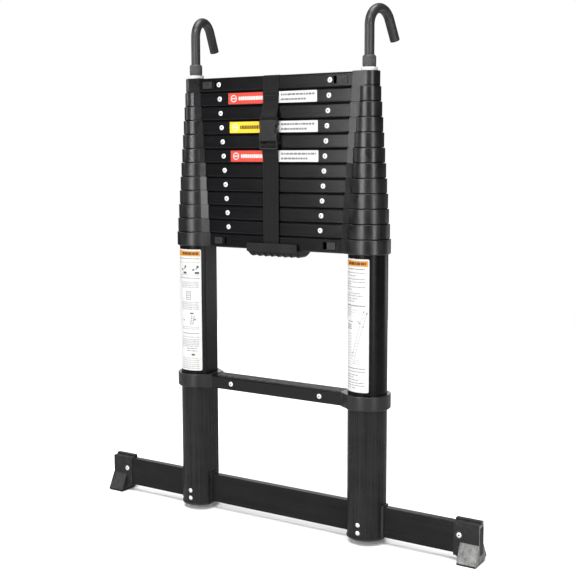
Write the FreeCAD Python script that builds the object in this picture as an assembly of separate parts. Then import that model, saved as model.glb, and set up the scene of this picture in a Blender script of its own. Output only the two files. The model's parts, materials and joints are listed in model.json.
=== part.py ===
import FreeCAD, Part
import math
import os

# Closed telescoping ladder with roof hooks, carry grip, strap and stabiliser bar.
# Millimetres. +X runs along the rungs, +Y towards the hooks' open side, +Z up.
# The origin is at floor level, in the middle of the whole object's footprint.
# Pieces are drawn about the plane of the tube axes and moved by SHIFT_Y on export.

V = FreeCAD.Vector
UP = V(0, 0, 1)
ALONG_X = V(1, 0, 0)
ALONG_Y = V(0, 1, 0)

# ---- stiles: nested tubes with one flat, which faces the rungs ----
STILE_X = 200.0            # half the distance between the two tube axes
STACK = 12                 # rungs in the closed stack; number 12 is on the outer tubes
STACK_Z = 562.0            # underside of collar 12
PITCH = 28.45              # height that one collar takes in the closed stack
OUTER_R = 38.2             # outside radius of the outer tube
OUTER_FLAT = 33.0          # axis to flat on the outer tube
TUBE_STEP = 2.0            # each tube is this much smaller than the next, all round
TUBE_WALL = 1.3
INNER_TUBE_LENGTH = 400.0
RUNG_SPACING = 296.45      # between neighbouring rungs once a section is pulled out
TRAVEL = RUNG_SPACING - PITCH
TUBE_BOTTOM_Z = 14.0       # foot of the outer tubes
GUIDE_BUSH_HEIGHT = 6.0
GUIDE_BUSH_PROUD = 0.2

# ---- collars ----
COLLAR_HEIGHT = 28.1
COLLAR_R_FIRST = 20.7
COLLAR_R_LAST = 42.8
LOWER_COLLAR_R = 45.3       # the fixed collars of the thirteenth rung
COLLAR_LIP = 4.1           # top flange that guides the next tube
LIP_CLEARANCE = 0.35
COLLAR_EDGE = 0.9
COLLAR_FOOT_BEVEL = 1.6    # round the underside of the ring
NECK_FIRST = 24.0          # tube axis to the end of the rung, section 1
NECK_LAST = 47.0
NECK_ANGLE = math.radians(47)
LOWER_Z = STACK_Z - RUNG_SPACING

# ---- rungs ----
RUNG_HALF_DEPTH = 21.0
RUNG_HEIGHT = 26.0
RUNG_WALL = 1.6
RUNG_EDGE = 2.2
SPIGOT_LENGTH = 60.0
SPIGOT_GAP = 0.1
SPIGOT_WALL = 2.5
SPIGOT_FLOOR = 4.0         # thickness of the collar neck behind the hollow spigot
RIVET_FROM_NECK = 48.0
RIVET_HEAD_R = 4.7
RIVET_HEAD_H = 1.2
RIVET_R = 2.4
FIT = 0.05                 # gap round a fastener in its own hole
CLEAR = 0.35               # gap between pieces that move past each other

# ---- lock pins and thumb sliders ----
PIN_R = 4.0
HOOK_PIN_R = 3.0
PIN_FLANGE_R = 6.2
PIN_FLANGE = 2.5
PIN_INSIDE = 22.0          # how far a lock pin reaches into the spigot
THUMB_HALF_HEIGHT = 6.6
THUMB_PROUD = 2.0
LATCH_THUMB = (34.0, 56.0)     # start and end of the thumb piece, from the tube axis
LATCH_TRAVEL = 8.0
RELEASE_THUMB = (60.0, 77.0)
RELEASE_TRAVEL = 10.0
PLATE_MARGIN = 1.6
PLATE_DEPTH = 3.2
ARM_WIDTH = 7.0

# ---- roof hooks ----
HOOK_R = 9.3
HOOK_WALL = 2.0
HOOK_INSERT = 108.0
HOOK_BEND = 34.0
HOOK_TOP = 458.3           # centre line's highest point above STACK_Z
HOOK_TURN = 153.0
HOOK_LEG = 42.0
HOOK_SPLAY = 8.3           # the hooks open outwards by this many degrees
SLEEVE_R = 12.9
SLEEVE_SPAN = (348.4, 370.0)
BUSH_FLANGE_R = 16.0
BUSH_TOP = 347.6
BUSH_NECK_R = 12.2
KEY_DEPTH = 3.8

# ---- stabiliser bar and its feet ----
BAR_Z = (14.8, 74.6)
BAR_HALF_THICKNESS = 8.0
BAR_WALL = 2.0
BAR_END = 433.0
BAR_EDGE = 2.0
FOOT_END = 437.4
FOOT_START = 385.0
FOOT_TOP = 80.0
FOOT_HALF_THICKNESS = 10.8
HEEL_START = 399.0
TOE_TOP = 38.0
TOE_REACH = 28.0
SOLE_FLAT_END = 12.0
SOLE_RISE = 7.0
TREAD_PITCH = 5.2
TREAD_WIDTH = 2.0
TREAD_DEPTH = 1.5
FOOT_RIVET = (397.0, 51.5)
TUBE_BOLT_Z = (25.0, 41.0)
BOLT_R = 3.0
BOLT_HEAD_R = 4.6
TRIM_WALL = 2.6            # plastic trim round the bar where it enters a tube
TRIM_PROUD = 3.2
END_CAP_LIP = 1.2
END_CAP_FLOOR = 3.0
END_CAP_PLUG = 12.0

# ---- carry grip ----
GRIP_HALF_LENGTH = 60.5
GRIP_DROP = 15.5
GRIP_ROUND = 11.0          # rounding of the grip's four lower edges
GRIP_HALF_DEPTH = 23.4
GRIP_PLATE_Y = (-28.8, -26.6)
GRIP_PLATE_Z = (-5.0, 12.5)
GRIP_PLATE_HALF_LENGTH = 58.5
GRIP_FINGERS = 7
GRIP_FINGER_R = 9.6
GRIP_FINGER_DEPTH = 3.4

# ---- strap and buckle ----
STRAP_X = -3.0
STRAP_HALF_WIDTH = 18.0
WEB = 1.4
WEB_GAP = 0.4
BUCKLE_HALF_WIDTH = 20.4
BUCKLE_Y = (-35.0, -23.7)
BUCKLE_WALL = 2.4
SOCKET_Z = (215.4, 256.0)
SOCKET_TOP_WALL = 5.0
SIDE_WINDOW_Z = (227.5, 243.0)
SIDE_WINDOW_DEPTH = 5.2
PLUG_Z = (197.0, 214.8)
PLUG_SLOTS = ((3.2, 6.2), (9.8, 15.6))   # above the foot of the plug
PRONG_REACH = (30.0, 24.0)     # outer and middle prongs, above the plug's frame
PRONG_HALF_WIDTH = 3.0
PRONG_OFFSET = 12.6
PRONG_INSET = 3.2
FOLD_Y = -27.7             # fold line of the lower strap, over the grip's front plate
FOLD_Z = 14.5
LOWER_WEB_Y = (-24.7, -23.3)


def hook_reach():
    """Distance from the shank to the centre of the hook's free end."""
    rest = math.radians(180.0 - HOOK_TURN)
    return HOOK_BEND * (1 + math.cos(rest)) + HOOK_LEG * math.sin(rest)


def footprint_shift():
    """Moves the plane of the tube axes so that the whole footprint is centred in Y."""
    rest = math.radians(180.0 - HOOK_TURN)
    splay = math.radians(HOOK_SPLAY)
    half_end = math.hypot(HOOK_R * math.cos(rest) * math.cos(splay), HOOK_R * math.sin(splay))
    rear = hook_reach() * math.cos(splay) + half_end
    front = LOWER_COLLAR_R
    return (front - rear) / 2


SHIFT_Y = footprint_shift()


# ---- sizes of section number k ----

def tube_r(k):
    return OUTER_R - TUBE_STEP * (STACK - k)


def tube_flat(k):
    return OUTER_FLAT - TUBE_STEP * (STACK - k)


def collar_z(k):
    return STACK_Z + PITCH * (STACK - k)


def collar_r(k):
    return COLLAR_R_FIRST + (COLLAR_R_LAST - COLLAR_R_FIRST) * (k - 1) / (STACK - 1)


def neck(k):
    return NECK_FIRST + (NECK_LAST - NECK_FIRST) * (k - 1) / (STACK - 1)


# ---- simple solids ----

def box(x0, x1, y0, y1, z0, z1):
    return Part.makeBox(x1 - x0, y1 - y0, z1 - z0, V(x0, y0, z0))


def rod_x(radius, x0, x1, y, z):
    return Part.makeCylinder(radius, x1 - x0, V(x0, y, z), ALONG_X)


def rod_y(radius, y0, y1, x, z):
    return Part.makeCylinder(radius, y1 - y0, V(x, y0, z), ALONG_Y)


def prism(points, height):
    """Extrudes a closed outline of (x, y, z) points along a vector."""
    corners = [V(*point) for point in points]
    face = Part.Face(Part.makePolygon(corners + corners[:1]))
    return face.extrude(height)


def soften(solid, direction, radius):
    """Rounds the straight edges of a solid that run along a direction."""
    edges = []
    for edge in solid.Edges:
        if isinstance(edge.Curve, Part.Line) and abs(edge.Curve.Direction.dot(direction)) > 0.99:
            edges.append(edge)
    return solid.makeFillet(radius, edges)


def dome(radius, height, x, y, z, facing):
    """Low domed rivet head whose flat side is at y; facing is -1 to the front, +1 to the back."""
    ball_r = (radius ** 2 + height ** 2) / (2 * height)
    ball = Part.makeSphere(ball_r, V(x, y + facing * (height - ball_r), z))
    reach = 2 * ball_r
    y0, y1 = sorted((y, y + facing * reach))
    return ball.common(box(x - reach, x + reach, y0, y1, z - reach, z + reach))


def mirrored(shape):
    return shape.mirror(V(0, 0, 0), ALONG_X)


def both_sides(solids):
    return list(solids) + [mirrored(solid) for solid in solids]


def keep(node, solids):
    """Writes the solids of one node to its STEP file."""
    parts = []
    for solid in solids:
        moved = solid.copy()
        moved.translate(V(0, SHIFT_Y, 0))
        parts.extend(moved.Solids)
    Part.makeCompound(parts).exportStep("parts/" + node + ".step")


# ---- the left stile's pieces; the right ones are their mirror images ----

def stile_bar(radius, flat, z0, z1):
    """Solid round bar with the stile's flat, on the left tube axis."""
    bar = Part.makeCylinder(radius, z1 - z0, V(-STILE_X, 0, z0))
    past = radius + 1
    return bar.cut(box(-STILE_X + flat, -STILE_X + past, -past, past, z0 - 1, z1 + 1))


def from_axis(u):
    """X of a point that is u from the left tube axis, towards the rungs."""
    return -STILE_X + u


def pin_z(k):
    return collar_z(k) + RUNG_HEIGHT / 2


def pin_hole(radius, u0, u1, z):
    return rod_x(radius, from_axis(u0), from_axis(u1), 0, z)


def inner_tube(k):
    """Sliding tube of section k, with its pin hole at the top and lock hole low down."""
    top = collar_z(k) + COLLAR_HEIGHT - COLLAR_LIP
    bottom = top - INNER_TUBE_LENGTH
    tube = stile_bar(tube_r(k), tube_flat(k), bottom, top)
    tube = tube.cut(stile_bar(tube_r(k) - TUBE_WALL, tube_flat(k) - TUBE_WALL, bottom - 1, top + 1))
    reach = tube_flat(k) + 2
    hole_r = (HOOK_PIN_R if k == 1 else PIN_R) + CLEAR
    tube = tube.cut(pin_hole(hole_r, 0, reach, pin_z(k)))
    return tube.cut(pin_hole(PIN_R + CLEAR, 0, reach, pin_z(k + 1) - TRAVEL))


def guide_bush(k):
    """Plastic ring under the foot of a sliding tube."""
    top = collar_z(k) + COLLAR_HEIGHT - COLLAR_LIP - INNER_TUBE_LENGTH
    bottom = top - GUIDE_BUSH_HEIGHT
    outer = stile_bar(tube_r(k) + GUIDE_BUSH_PROUD, tube_flat(k) + GUIDE_BUSH_PROUD, bottom, top)
    inner_r = tube_r(k) - TUBE_WALL
    return outer.cut(stile_bar(inner_r, tube_flat(k) - TUBE_WALL, bottom - 1, top + 1))


def collar_body(radius, neck_end, z):
    """Round collar with its neck towards the rung, before it is bored."""
    bevel = COLLAR_FOOT_BEVEL
    ring = Part.makeCone(radius - bevel, radius, bevel, V(-STILE_X, 0, z))
    ring = ring.fuse(Part.makeCylinder(radius, COLLAR_HEIGHT - bevel, V(-STILE_X, 0, z + bevel)))
    angle = 0.0
    if radius > RUNG_HALF_DEPTH:
        angle = min(NECK_ANGLE, math.acos(RUNG_HALF_DEPTH / radius))
    root_x = from_axis(radius * math.sin(angle))
    root_y = radius * math.cos(angle)
    end_x = from_axis(neck_end)
    outline = [(root_x, -root_y, z), (end_x, -RUNG_HALF_DEPTH, z),
               (end_x, RUNG_HALF_DEPTH, z), (root_x, root_y, z)]
    body = ring.fuse(prism(outline, UP * COLLAR_HEIGHT)).removeSplitter()
    rims = []
    for edge in body.Edges:
        bounds = edge.BoundBox
        on_top = abs(bounds.ZMin - z - COLLAR_HEIGHT) < 0.01 and bounds.ZLength < 0.01
        if on_top and bounds.XMax < end_x - 0.01:
            rims.append(edge)
    return body.makeFillet(COLLAR_EDGE, rims)


def spigot(neck_end, z):
    """Hollow tongue of a collar that fills the end of its rung."""
    x0 = from_axis(neck_end) - 1
    x1 = from_axis(neck_end + SPIGOT_LENGTH)
    half_y = RUNG_HALF_DEPTH - RUNG_WALL - SPIGOT_GAP
    z0 = z + RUNG_WALL + SPIGOT_GAP
    z1 = z + RUNG_HEIGHT - RUNG_WALL - SPIGOT_GAP
    return box(x0, x1, -half_y, half_y, z0, z1)


def spigot_hollow(neck_end, z):
    x0 = from_axis(neck_end + SPIGOT_FLOOR)
    x1 = from_axis(neck_end + SPIGOT_LENGTH + 1)
    half_y = RUNG_HALF_DEPTH - RUNG_WALL - SPIGOT_GAP - SPIGOT_WALL
    inset = RUNG_WALL + SPIGOT_GAP + SPIGOT_WALL
    return box(x0, x1, -half_y, half_y, z + inset, z + RUNG_HEIGHT - inset)


def rivet_places(neck_end, z, sides):
    """(x, y of the rung's face, z, facing) of each rivet at the left end of a rung."""
    x = from_axis(neck_end + RIVET_FROM_NECK)
    return [(x, side * RUNG_HALF_DEPTH, z + RUNG_HEIGHT / 2, side) for side in sides]


def rivet_reach():
    return RUNG_WALL + SPIGOT_GAP + SPIGOT_WALL + 1.0


def rivet_shank(radius, place):
    x, y, z, facing = place
    y0, y1 = sorted((y, y - facing * rivet_reach()))
    return rod_y(radius, y0, y1, x, z)


def rivet(place):
    x, y, z, facing = place
    head = dome(RIVET_HEAD_R, RIVET_HEAD_H, x, y, z, facing)
    return head.fuse(rivet_shank(RIVET_R, place))


def thumb_slot(span, travel, z):
    """Window in the front of a rung and its spigot that a thumb slider shows through."""
    x0 = from_axis(span[0]) - CLEAR
    x1 = from_axis(span[1]) + travel + CLEAR
    middle = z + RUNG_HEIGHT / 2
    half = THUMB_HALF_HEIGHT + CLEAR
    inside = RUNG_HALF_DEPTH - RUNG_WALL - SPIGOT_GAP - SPIGOT_WALL - 1
    return box(x0, x1, -RUNG_HALF_DEPTH - 1, -inside, middle - half, middle + half)


def collar(k, z, bore_radius, bore_flat, lip_tool, rivet_sides, slot=None, pin_radius=PIN_R,
           outer_radius=None):
    """Finished left collar: bored for its own tube, with a lip above it and a spigot."""
    body = collar_body(outer_radius or collar_r(k), neck(k), z).fuse(spigot(neck(k), z))
    body = body.cut(stile_bar(bore_radius, bore_flat, z - 1, z + COLLAR_HEIGHT - COLLAR_LIP))
    body = body.cut(lip_tool)
    body = body.cut(spigot_hollow(neck(k), z))
    if pin_radius:
        body = body.cut(pin_hole(pin_radius + CLEAR, 0, neck(k) + SPIGOT_FLOOR + 1, z + RUNG_HEIGHT / 2))
    for place in rivet_places(neck(k), z, rivet_sides):
        body = body.cut(rivet_shank(RIVET_R + FIT, place))
    if slot:
        body = body.cut(slot)
    return body


def sliding_lip(k, z):
    """Cutter for the collar's top flange: lets the next smaller tube through."""
    z0 = z + COLLAR_HEIGHT - COLLAR_LIP - 1
    radius = tube_r(k - 1) + LIP_CLEARANCE
    return stile_bar(radius, tube_flat(k - 1) + LIP_CLEARANCE, z0, z + COLLAR_HEIGHT + 1)


def lock_pin(k):
    """Lock pin of collar k, resting against the tube inside, with its return spring."""
    z = pin_z(k)
    tip = tube_flat(k - 1) + CLEAR
    tail = neck(k) + PIN_INSIDE
    pin = pin_hole(PIN_R, tip, tail, z)
    flange = pin_hole(PIN_FLANGE_R, tail - PIN_FLANGE, tail, z)
    spring = pin_hole(PIN_FLANGE_R - 0.4, tail + FIT, tail + PIN_INSIDE, z)
    spring = spring.cut(pin_hole(PIN_FLANGE_R - 1.8, tail - 1, tail + PIN_INSIDE + 1, z))
    return [pin.fuse(flange), spring]


def rung(k, z, rivet_sides, slot=None):
    """Hollow rung with softened edges, open at both ends."""
    half = STILE_X - neck(k)
    outer = box(-half, half, -RUNG_HALF_DEPTH, RUNG_HALF_DEPTH, z, z + RUNG_HEIGHT)
    outer = soften(outer, ALONG_X, RUNG_EDGE)
    inner_y = RUNG_HALF_DEPTH - RUNG_WALL
    body = outer.cut(box(-half - 1, half + 1, -inner_y, inner_y, z + RUNG_WALL, z + RUNG_HEIGHT - RUNG_WALL))
    for place in rivet_places(neck(k), z, rivet_sides):
        hole = rivet_shank(RIVET_R + FIT, place)
        body = body.cut(hole).cut(mirrored(hole))
    if slot:
        body = body.cut(slot).cut(mirrored(slot))
    return body


def rivets(k, z, sides):
    return both_sides([rivet(place) for place in rivet_places(neck(k), z, sides)])


def thumb_slider(span, pin_tip, pin_radius, z):
    """Left thumb slider: ribbed thumb piece, guide plate, arm and the pin that it pulls."""
    middle = z + RUNG_HEIGHT / 2
    x0 = from_axis(span[0])
    x1 = from_axis(span[1])
    half = THUMB_HALF_HEIGHT
    cavity_y = RUNG_HALF_DEPTH - RUNG_WALL - SPIGOT_GAP - SPIGOT_WALL - CLEAR
    thumb = box(x0, x1, -RUNG_HALF_DEPTH - THUMB_PROUD, -cavity_y, middle - half, middle + half)
    ribs = 5
    for i in range(ribs):
        x = x0 + (x1 - x0) * (i + 1) / (ribs + 1)
        thumb = thumb.cut(box(x - 0.6, x + 0.6, -RUNG_HALF_DEPTH - THUMB_PROUD - 1,
                              -RUNG_HALF_DEPTH - THUMB_PROUD + 0.8, middle - half + 1.2, middle + half - 1.2))
    plate = box(x0 - PLATE_MARGIN, x1 + PLATE_MARGIN, -cavity_y, -cavity_y + PLATE_DEPTH,
                middle - half - PLATE_MARGIN, middle + half + PLATE_MARGIN)
    arm = box(x0, x0 + ARM_WIDTH, -cavity_y, pin_radius + 1, middle - 5.5, middle + 5.5)
    pin = pin_hole(pin_radius, pin_tip, span[0] + 1, middle)
    return thumb.fuse([plate, arm, pin]).removeSplitter()


# ---- sections 1 to 11 ----

def section_nodes(k):
    """Tubes, collars and rung of one sliding section."""
    name = "%02d" % k
    z = collar_z(k)
    keep("tubes_" + name, both_sides([inner_tube(k), guide_bush(k)]))
    sides = (-1, 1)
    if k == 1:
        slot = thumb_slot(LATCH_THUMB, LATCH_TRAVEL, z)
        hook_opening = Part.makeCylinder(BUSH_NECK_R + FIT, COLLAR_HEIGHT, V(-STILE_X, 0, z + 10))
        body = collar(k, z, tube_r(k), tube_flat(k), hook_opening, sides, slot, HOOK_PIN_R)
        keep("collars_" + name, both_sides([body]))
        keep("rung_" + name, [rung(k, z, sides, slot)] + rivets(k, z, sides))
        return
    body = collar(k, z, tube_r(k), tube_flat(k), sliding_lip(k, z), sides)
    keep("collars_" + name, both_sides([body] + lock_pin(k)))
    keep("rung_" + name, [rung(k, z, sides)] + rivets(k, z, sides))


# ---- base: outer tubes, collar 12, fixed lower rung, stabiliser bar ----

def bolt_cutters():
    """Full-length clearance holes of the two bolts in the left tube."""
    reach = OUTER_R + 5
    return [rod_y(BOLT_R + FIT, -reach, reach, -STILE_X, z) for z in TUBE_BOLT_Z]


def head_seats():
    """Flat seats for the bolt heads on the round tube."""
    seats = []
    for z in TUBE_BOLT_Z:
        for side in (-1, 1):
            y0, y1 = sorted((side * (OUTER_R - 0.4), side * (OUTER_R + 5)))
            seats.append(rod_y(BOLT_HEAD_R + FIT, y0, y1, -STILE_X, z))
    return seats


def outer_tube():
    top = collar_z(STACK) + COLLAR_HEIGHT - COLLAR_LIP
    tube = stile_bar(OUTER_R, OUTER_FLAT, TUBE_BOTTOM_Z, top)
    tube = tube.cut(stile_bar(OUTER_R - TUBE_WALL, OUTER_FLAT - TUBE_WALL, TUBE_BOTTOM_Z - 1, top + 1))
    tube = tube.cut(pin_hole(PIN_R + CLEAR, 0, OUTER_FLAT + 2, pin_z(STACK)))
    half = BAR_HALF_THICKNESS + 0.1
    slot = box(-STILE_X - OUTER_R - 1, -STILE_X + OUTER_R + 1, -half, half, TUBE_BOTTOM_Z - 1, BAR_Z[1] + 0.1)
    return tube.cut([slot] + bolt_cutters() + head_seats())


def tube_bolt(z):
    """Through bolt with a domed head at each end."""
    seat = OUTER_R - 0.4
    shank = rod_y(BOLT_R, -seat, seat, -STILE_X, z)
    front = dome(BOLT_HEAD_R, 2.0, -STILE_X, -seat, z, -1)
    back = dome(BOLT_HEAD_R, 2.0, -STILE_X, seat, z, 1)
    return shank.fuse([front, back])


def end_cap():
    """Plug in the foot of the outer tube, notched for the bar."""
    bottom = TUBE_BOTTOM_Z - END_CAP_FLOOR
    lip = stile_bar(OUTER_R + END_CAP_LIP, OUTER_FLAT + END_CAP_LIP, bottom, TUBE_BOTTOM_Z)
    inner = OUTER_R - TUBE_WALL - FIT
    plug = stile_bar(inner, OUTER_FLAT - TUBE_WALL - FIT, TUBE_BOTTOM_Z - 1, TUBE_BOTTOM_Z + END_CAP_PLUG)
    half = BAR_HALF_THICKNESS + 0.1
    notch = box(-STILE_X - OUTER_R - 2, -STILE_X + OUTER_R + 2, -half, half, BAR_Z[0] - 0.1, 60)
    return lip.fuse(plug).cut([notch] + bolt_cutters())


def bar_trims():
    """U-shaped trims over the bar, one on the flat and one on the round side of the left tube."""
    half = BAR_HALF_THICKNESS + 0.1
    low, high = TUBE_BOTTOM_Z, BAR_Z[1] + 0.1
    through = box(-STILE_X - 60, -STILE_X + 60, -half, half, low - 1, high)
    tube = stile_bar(OUTER_R, OUTER_FLAT, low - 1, high + 20)
    trims = []
    for u0, u1 in ((OUTER_FLAT, OUTER_FLAT + TRIM_PROUD), (-OUTER_R - TRIM_PROUD, -OUTER_R + 2.5)):
        block = box(from_axis(u0), from_axis(u1), -half - TRIM_WALL, half + TRIM_WALL, low, high + TRIM_WALL)
        trims.append(block.cut([through, tube]))
    return trims


def stabiliser_bar():
    outer = box(-BAR_END, BAR_END, -BAR_HALF_THICKNESS, BAR_HALF_THICKNESS, BAR_Z[0], BAR_Z[1])
    outer = soften(outer, ALONG_X, BAR_EDGE)
    inside = BAR_HALF_THICKNESS - BAR_WALL
    hollow = box(-BAR_END - 1, BAR_END + 1, -inside, inside, BAR_Z[0] + BAR_WALL, BAR_Z[1] - BAR_WALL)
    bar = outer.cut(hollow)
    holes = both_sides(bolt_cutters() + [foot_rivet_hole()])
    return bar.cut(holes)


def foot_rivet_hole():
    x, z = FOOT_RIVET
    return rod_y(BOLT_R + FIT, -FOOT_HALF_THICKNESS - 1, FOOT_HALF_THICKNESS + 1, -x, z)


def foot_rivet():
    x, z = FOOT_RIVET
    shank = rod_y(BOLT_R, -FOOT_HALF_THICKNESS, FOOT_HALF_THICKNESS, -x, z)
    front = dome(RIVET_HEAD_R, RIVET_HEAD_H, -x, -FOOT_HALF_THICKNESS, z, -1)
    back = dome(RIVET_HEAD_R, RIVET_HEAD_H, -x, FOOT_HALF_THICKNESS, z, 1)
    return shank.fuse([front, back])


def foot():
    """Left end foot: cap over the bar, splayed toe and a sole that rises at the back."""
    half = FOOT_HALF_THICKNESS
    cap_bottom = BAR_Z[0] - 3.5
    cap = box(-FOOT_END, -FOOT_START, -half, half, cap_bottom, FOOT_TOP)
    cap = soften(cap, ALONG_X, 1.5)
    sole_middle = (SOLE_FLAT_END + TOE_REACH) / 2
    toe = [
        (-FOOT_END, -half, TOE_TOP),
        (-FOOT_END, -TOE_REACH, 3.0),
        (-FOOT_END, -TOE_REACH + 1.0, 0.0),
        (-FOOT_END, SOLE_FLAT_END, 0.0),
        (-FOOT_END, sole_middle, SOLE_RISE * 0.35),
        (-FOOT_END, TOE_REACH, SOLE_RISE),
        (-FOOT_END, TOE_REACH, SOLE_RISE + 3.0),
        (-FOOT_END, half, TOE_TOP),
    ]
    heel = prism(toe, ALONG_X * (FOOT_END - HEEL_START))
    web = [(-HEEL_START - 1, -half, cap_bottom + 1), (-FOOT_START - 4, -half, cap_bottom + 1),
           (-HEEL_START - 1, -half, 3.0)]
    brace = prism(web, ALONG_Y * (2 * half))
    pocket = box(-BAR_END, -FOOT_START + 1, -BAR_HALF_THICKNESS, BAR_HALF_THICKNESS, BAR_Z[0], BAR_Z[1])
    body = cap.fuse([heel, brace]).cut([pocket, foot_rivet_hole()])
    treads = []
    grooves = int(2 * TOE_REACH / TREAD_PITCH)
    for i in range(1, grooves):
        y = -TOE_REACH + TREAD_PITCH * (i + 0.5)
        rise = max(0.0, y - SOLE_FLAT_END) * SOLE_RISE / (TOE_REACH - SOLE_FLAT_END)
        treads.append(box(-FOOT_END - 1, -HEEL_START + 1, y - TREAD_WIDTH / 2, y + TREAD_WIDTH / 2,
                          -1, rise + TREAD_DEPTH))
    return body.cut(treads)


def finger_groove(x, z):
    """Rods that cut one finger groove round the front and the underside of the grip."""
    inset = GRIP_FINGER_R - GRIP_FINGER_DEPTH
    front = -GRIP_HALF_DEPTH
    under = rod_y(GRIP_FINGER_R, front - 1, GRIP_HALF_DEPTH + 1, x, z - GRIP_DROP - inset)
    upright = Part.makeCylinder(GRIP_FINGER_R, GRIP_DROP - 5, V(x, front - inset, z - GRIP_DROP - 1))
    slope = math.sqrt(0.5)
    mid = GRIP_ROUND * (1 - slope)
    out = inset * slope
    start = V(x, front + mid - out - 20 * slope, z - GRIP_DROP + mid - out + 20 * slope)
    return under, upright, Part.makeCylinder(GRIP_FINGER_R, 40, start, V(0, slope, -slope))


def carry_grip():
    """Grip under rung 12 with finger grooves and a front plate that hides the strap's end."""
    z = STACK_Z
    half = GRIP_HALF_LENGTH
    body = box(-half, half, -GRIP_HALF_DEPTH, GRIP_HALF_DEPTH, z - GRIP_DROP, z - 0.05)
    body = body.makeFillet(GRIP_ROUND, [edge for edge in body.Edges if edge.BoundBox.ZMax < z - 1])
    pitch = 2 * (half - 8) / GRIP_FINGERS
    for i in range(GRIP_FINGERS):
        body = body.cut(finger_groove(-half + 8 + pitch * (i + 0.5), z))
    plate_half = GRIP_PLATE_HALF_LENGTH
    plate_front, plate_back = GRIP_PLATE_Y
    plate_foot, plate_top = GRIP_PLATE_Z
    plate = box(-plate_half, plate_half, plate_front, plate_back, z + plate_foot, z + plate_top)
    plate = soften(plate, ALONG_Y, 3.0)
    shelf = box(-plate_half + 2, plate_half - 2, plate_front + 0.5, -GRIP_HALF_DEPTH + 1, z - 4.8, z - 1.0)
    clip_y = RUNG_HALF_DEPTH + 0.1
    back = box(-half, half, clip_y, GRIP_HALF_DEPTH, z - 2, z + 7)
    return body.fuse([plate, shelf, back]).removeSplitter()


def strap_anchor():
    """Webbing end held between the grip's front plate and rung 12."""
    x0, x1 = STRAP_X - STRAP_HALF_WIDTH, STRAP_X + STRAP_HALF_WIDTH
    web = box(x0, x1, LOWER_WEB_Y[0], LOWER_WEB_Y[1], STACK_Z, STACK_Z + FOLD_Z - 0.4)
    stitched = box(x0, x1, LOWER_WEB_Y[1], -RUNG_HALF_DEPTH - 0.1, STACK_Z, STACK_Z + 4.0)
    return web.fuse(stitched)


def base_nodes():
    z = collar_z(STACK)
    slot = thumb_slot(RELEASE_THUMB, RELEASE_TRAVEL, z)
    keep("base_tubes", both_sides([outer_tube()]))
    body = collar(STACK, z, OUTER_R, OUTER_FLAT, sliding_lip(STACK, z), (1,), slot)
    keep("base_collars", both_sides([body]))
    keep("base_rung", [rung(STACK, z, (1,), slot)] + rivets(STACK, z, (1,)))
    through = stile_bar(OUTER_R, OUTER_FLAT, LOWER_Z - 1, LOWER_Z + COLLAR_HEIGHT + 1)
    sides = (-1, 1)
    body = collar(STACK, LOWER_Z, OUTER_R, OUTER_FLAT, through, sides, pin_radius=None,
                  outer_radius=LOWER_COLLAR_R)
    keep("lower_collars", both_sides([body]))
    keep("lower_rung", [rung(STACK, LOWER_Z, sides)] + rivets(STACK, LOWER_Z, sides))
    keep("stabiliser_bar", [stabiliser_bar()])
    keep("stabiliser_feet", both_sides([foot()]))
    keep("base_fasteners", both_sides([tube_bolt(height) for height in TUBE_BOLT_Z] + [foot_rivet()]))
    keep("tube_end_caps", both_sides([end_cap()]))
    keep("bar_trims", both_sides(bar_trims()))
    keep("carry_grip", [carry_grip()])
    keep("strap_anchor", [strap_anchor()])


# ---- thumb sliders ----

def slider_nodes():
    latch = thumb_slider(LATCH_THUMB, HOOK_R - KEY_DEPTH + 1.0, HOOK_PIN_R, collar_z(1))
    keep("latch_left", [latch])
    keep("latch_right", [mirrored(latch)])
    release = thumb_slider(RELEASE_THUMB, tube_flat(STACK - 1) + CLEAR, PIN_R, collar_z(STACK))
    keep("release_left", [release])
    keep("release_right", [mirrored(release)])


# ---- roof hooks ----

def hook_outline(radius, z_bottom, leg):
    """Left hook as one bent round bar: shank, bend and leg."""
    bend_z = STACK_Z + HOOK_TOP - HOOK_BEND
    shank = Part.makeCylinder(radius, bend_z - z_bottom, V(-STILE_X, 0, z_bottom))
    circle = Part.Wire(Part.makeCircle(radius, V(-STILE_X, 0, bend_z), UP))
    centre = V(-STILE_X, HOOK_BEND, bend_z)
    bend = Part.Face(circle).revolve(centre, V(-1, 0, 0), HOOK_TURN)
    turn = math.radians(HOOK_TURN)
    start = centre + V(0, -HOOK_BEND * math.cos(turn), HOOK_BEND * math.sin(turn))
    heading = V(0, math.sin(turn), math.cos(turn))
    tip = Part.makeCylinder(radius, leg, start, heading)
    return shank.fuse([bend, tip])


def hook_body():
    """Bent tube, turned outwards a little about its shank, with a keyway for the latch pin."""
    bottom = STACK_Z + PITCH * STACK - HOOK_INSERT
    tube = hook_outline(HOOK_R, bottom, HOOK_LEG)
    tube = tube.cut(hook_outline(HOOK_R - HOOK_WALL, bottom - 1, HOOK_LEG - 4.0))
    tube.rotate(V(-STILE_X, 0, 0), UP, HOOK_SPLAY)
    half = HOOK_PIN_R + CLEAR
    key = box(from_axis(HOOK_R - KEY_DEPTH), from_axis(HOOK_R + 1), -half, half, bottom - 1, pin_z(1) + half)
    return tube.cut(key)


def hook_sleeve():
    """Ribbed sleeve fixed on the shank above the bush."""
    z0, z1 = (STACK_Z + value for value in SLEEVE_SPAN)
    outer = Part.makeCylinder(SLEEVE_R, z1 - z0, V(-STILE_X, 0, z0))
    outer = outer.makeFillet(1.2, [edge for edge in outer.Edges if isinstance(edge.Curve, Part.Circle)])
    bore = Part.makeCylinder(HOOK_R + FIT, z1 - z0 + 2, V(-STILE_X, 0, z0 - 1))
    return outer.cut(bore)


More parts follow.
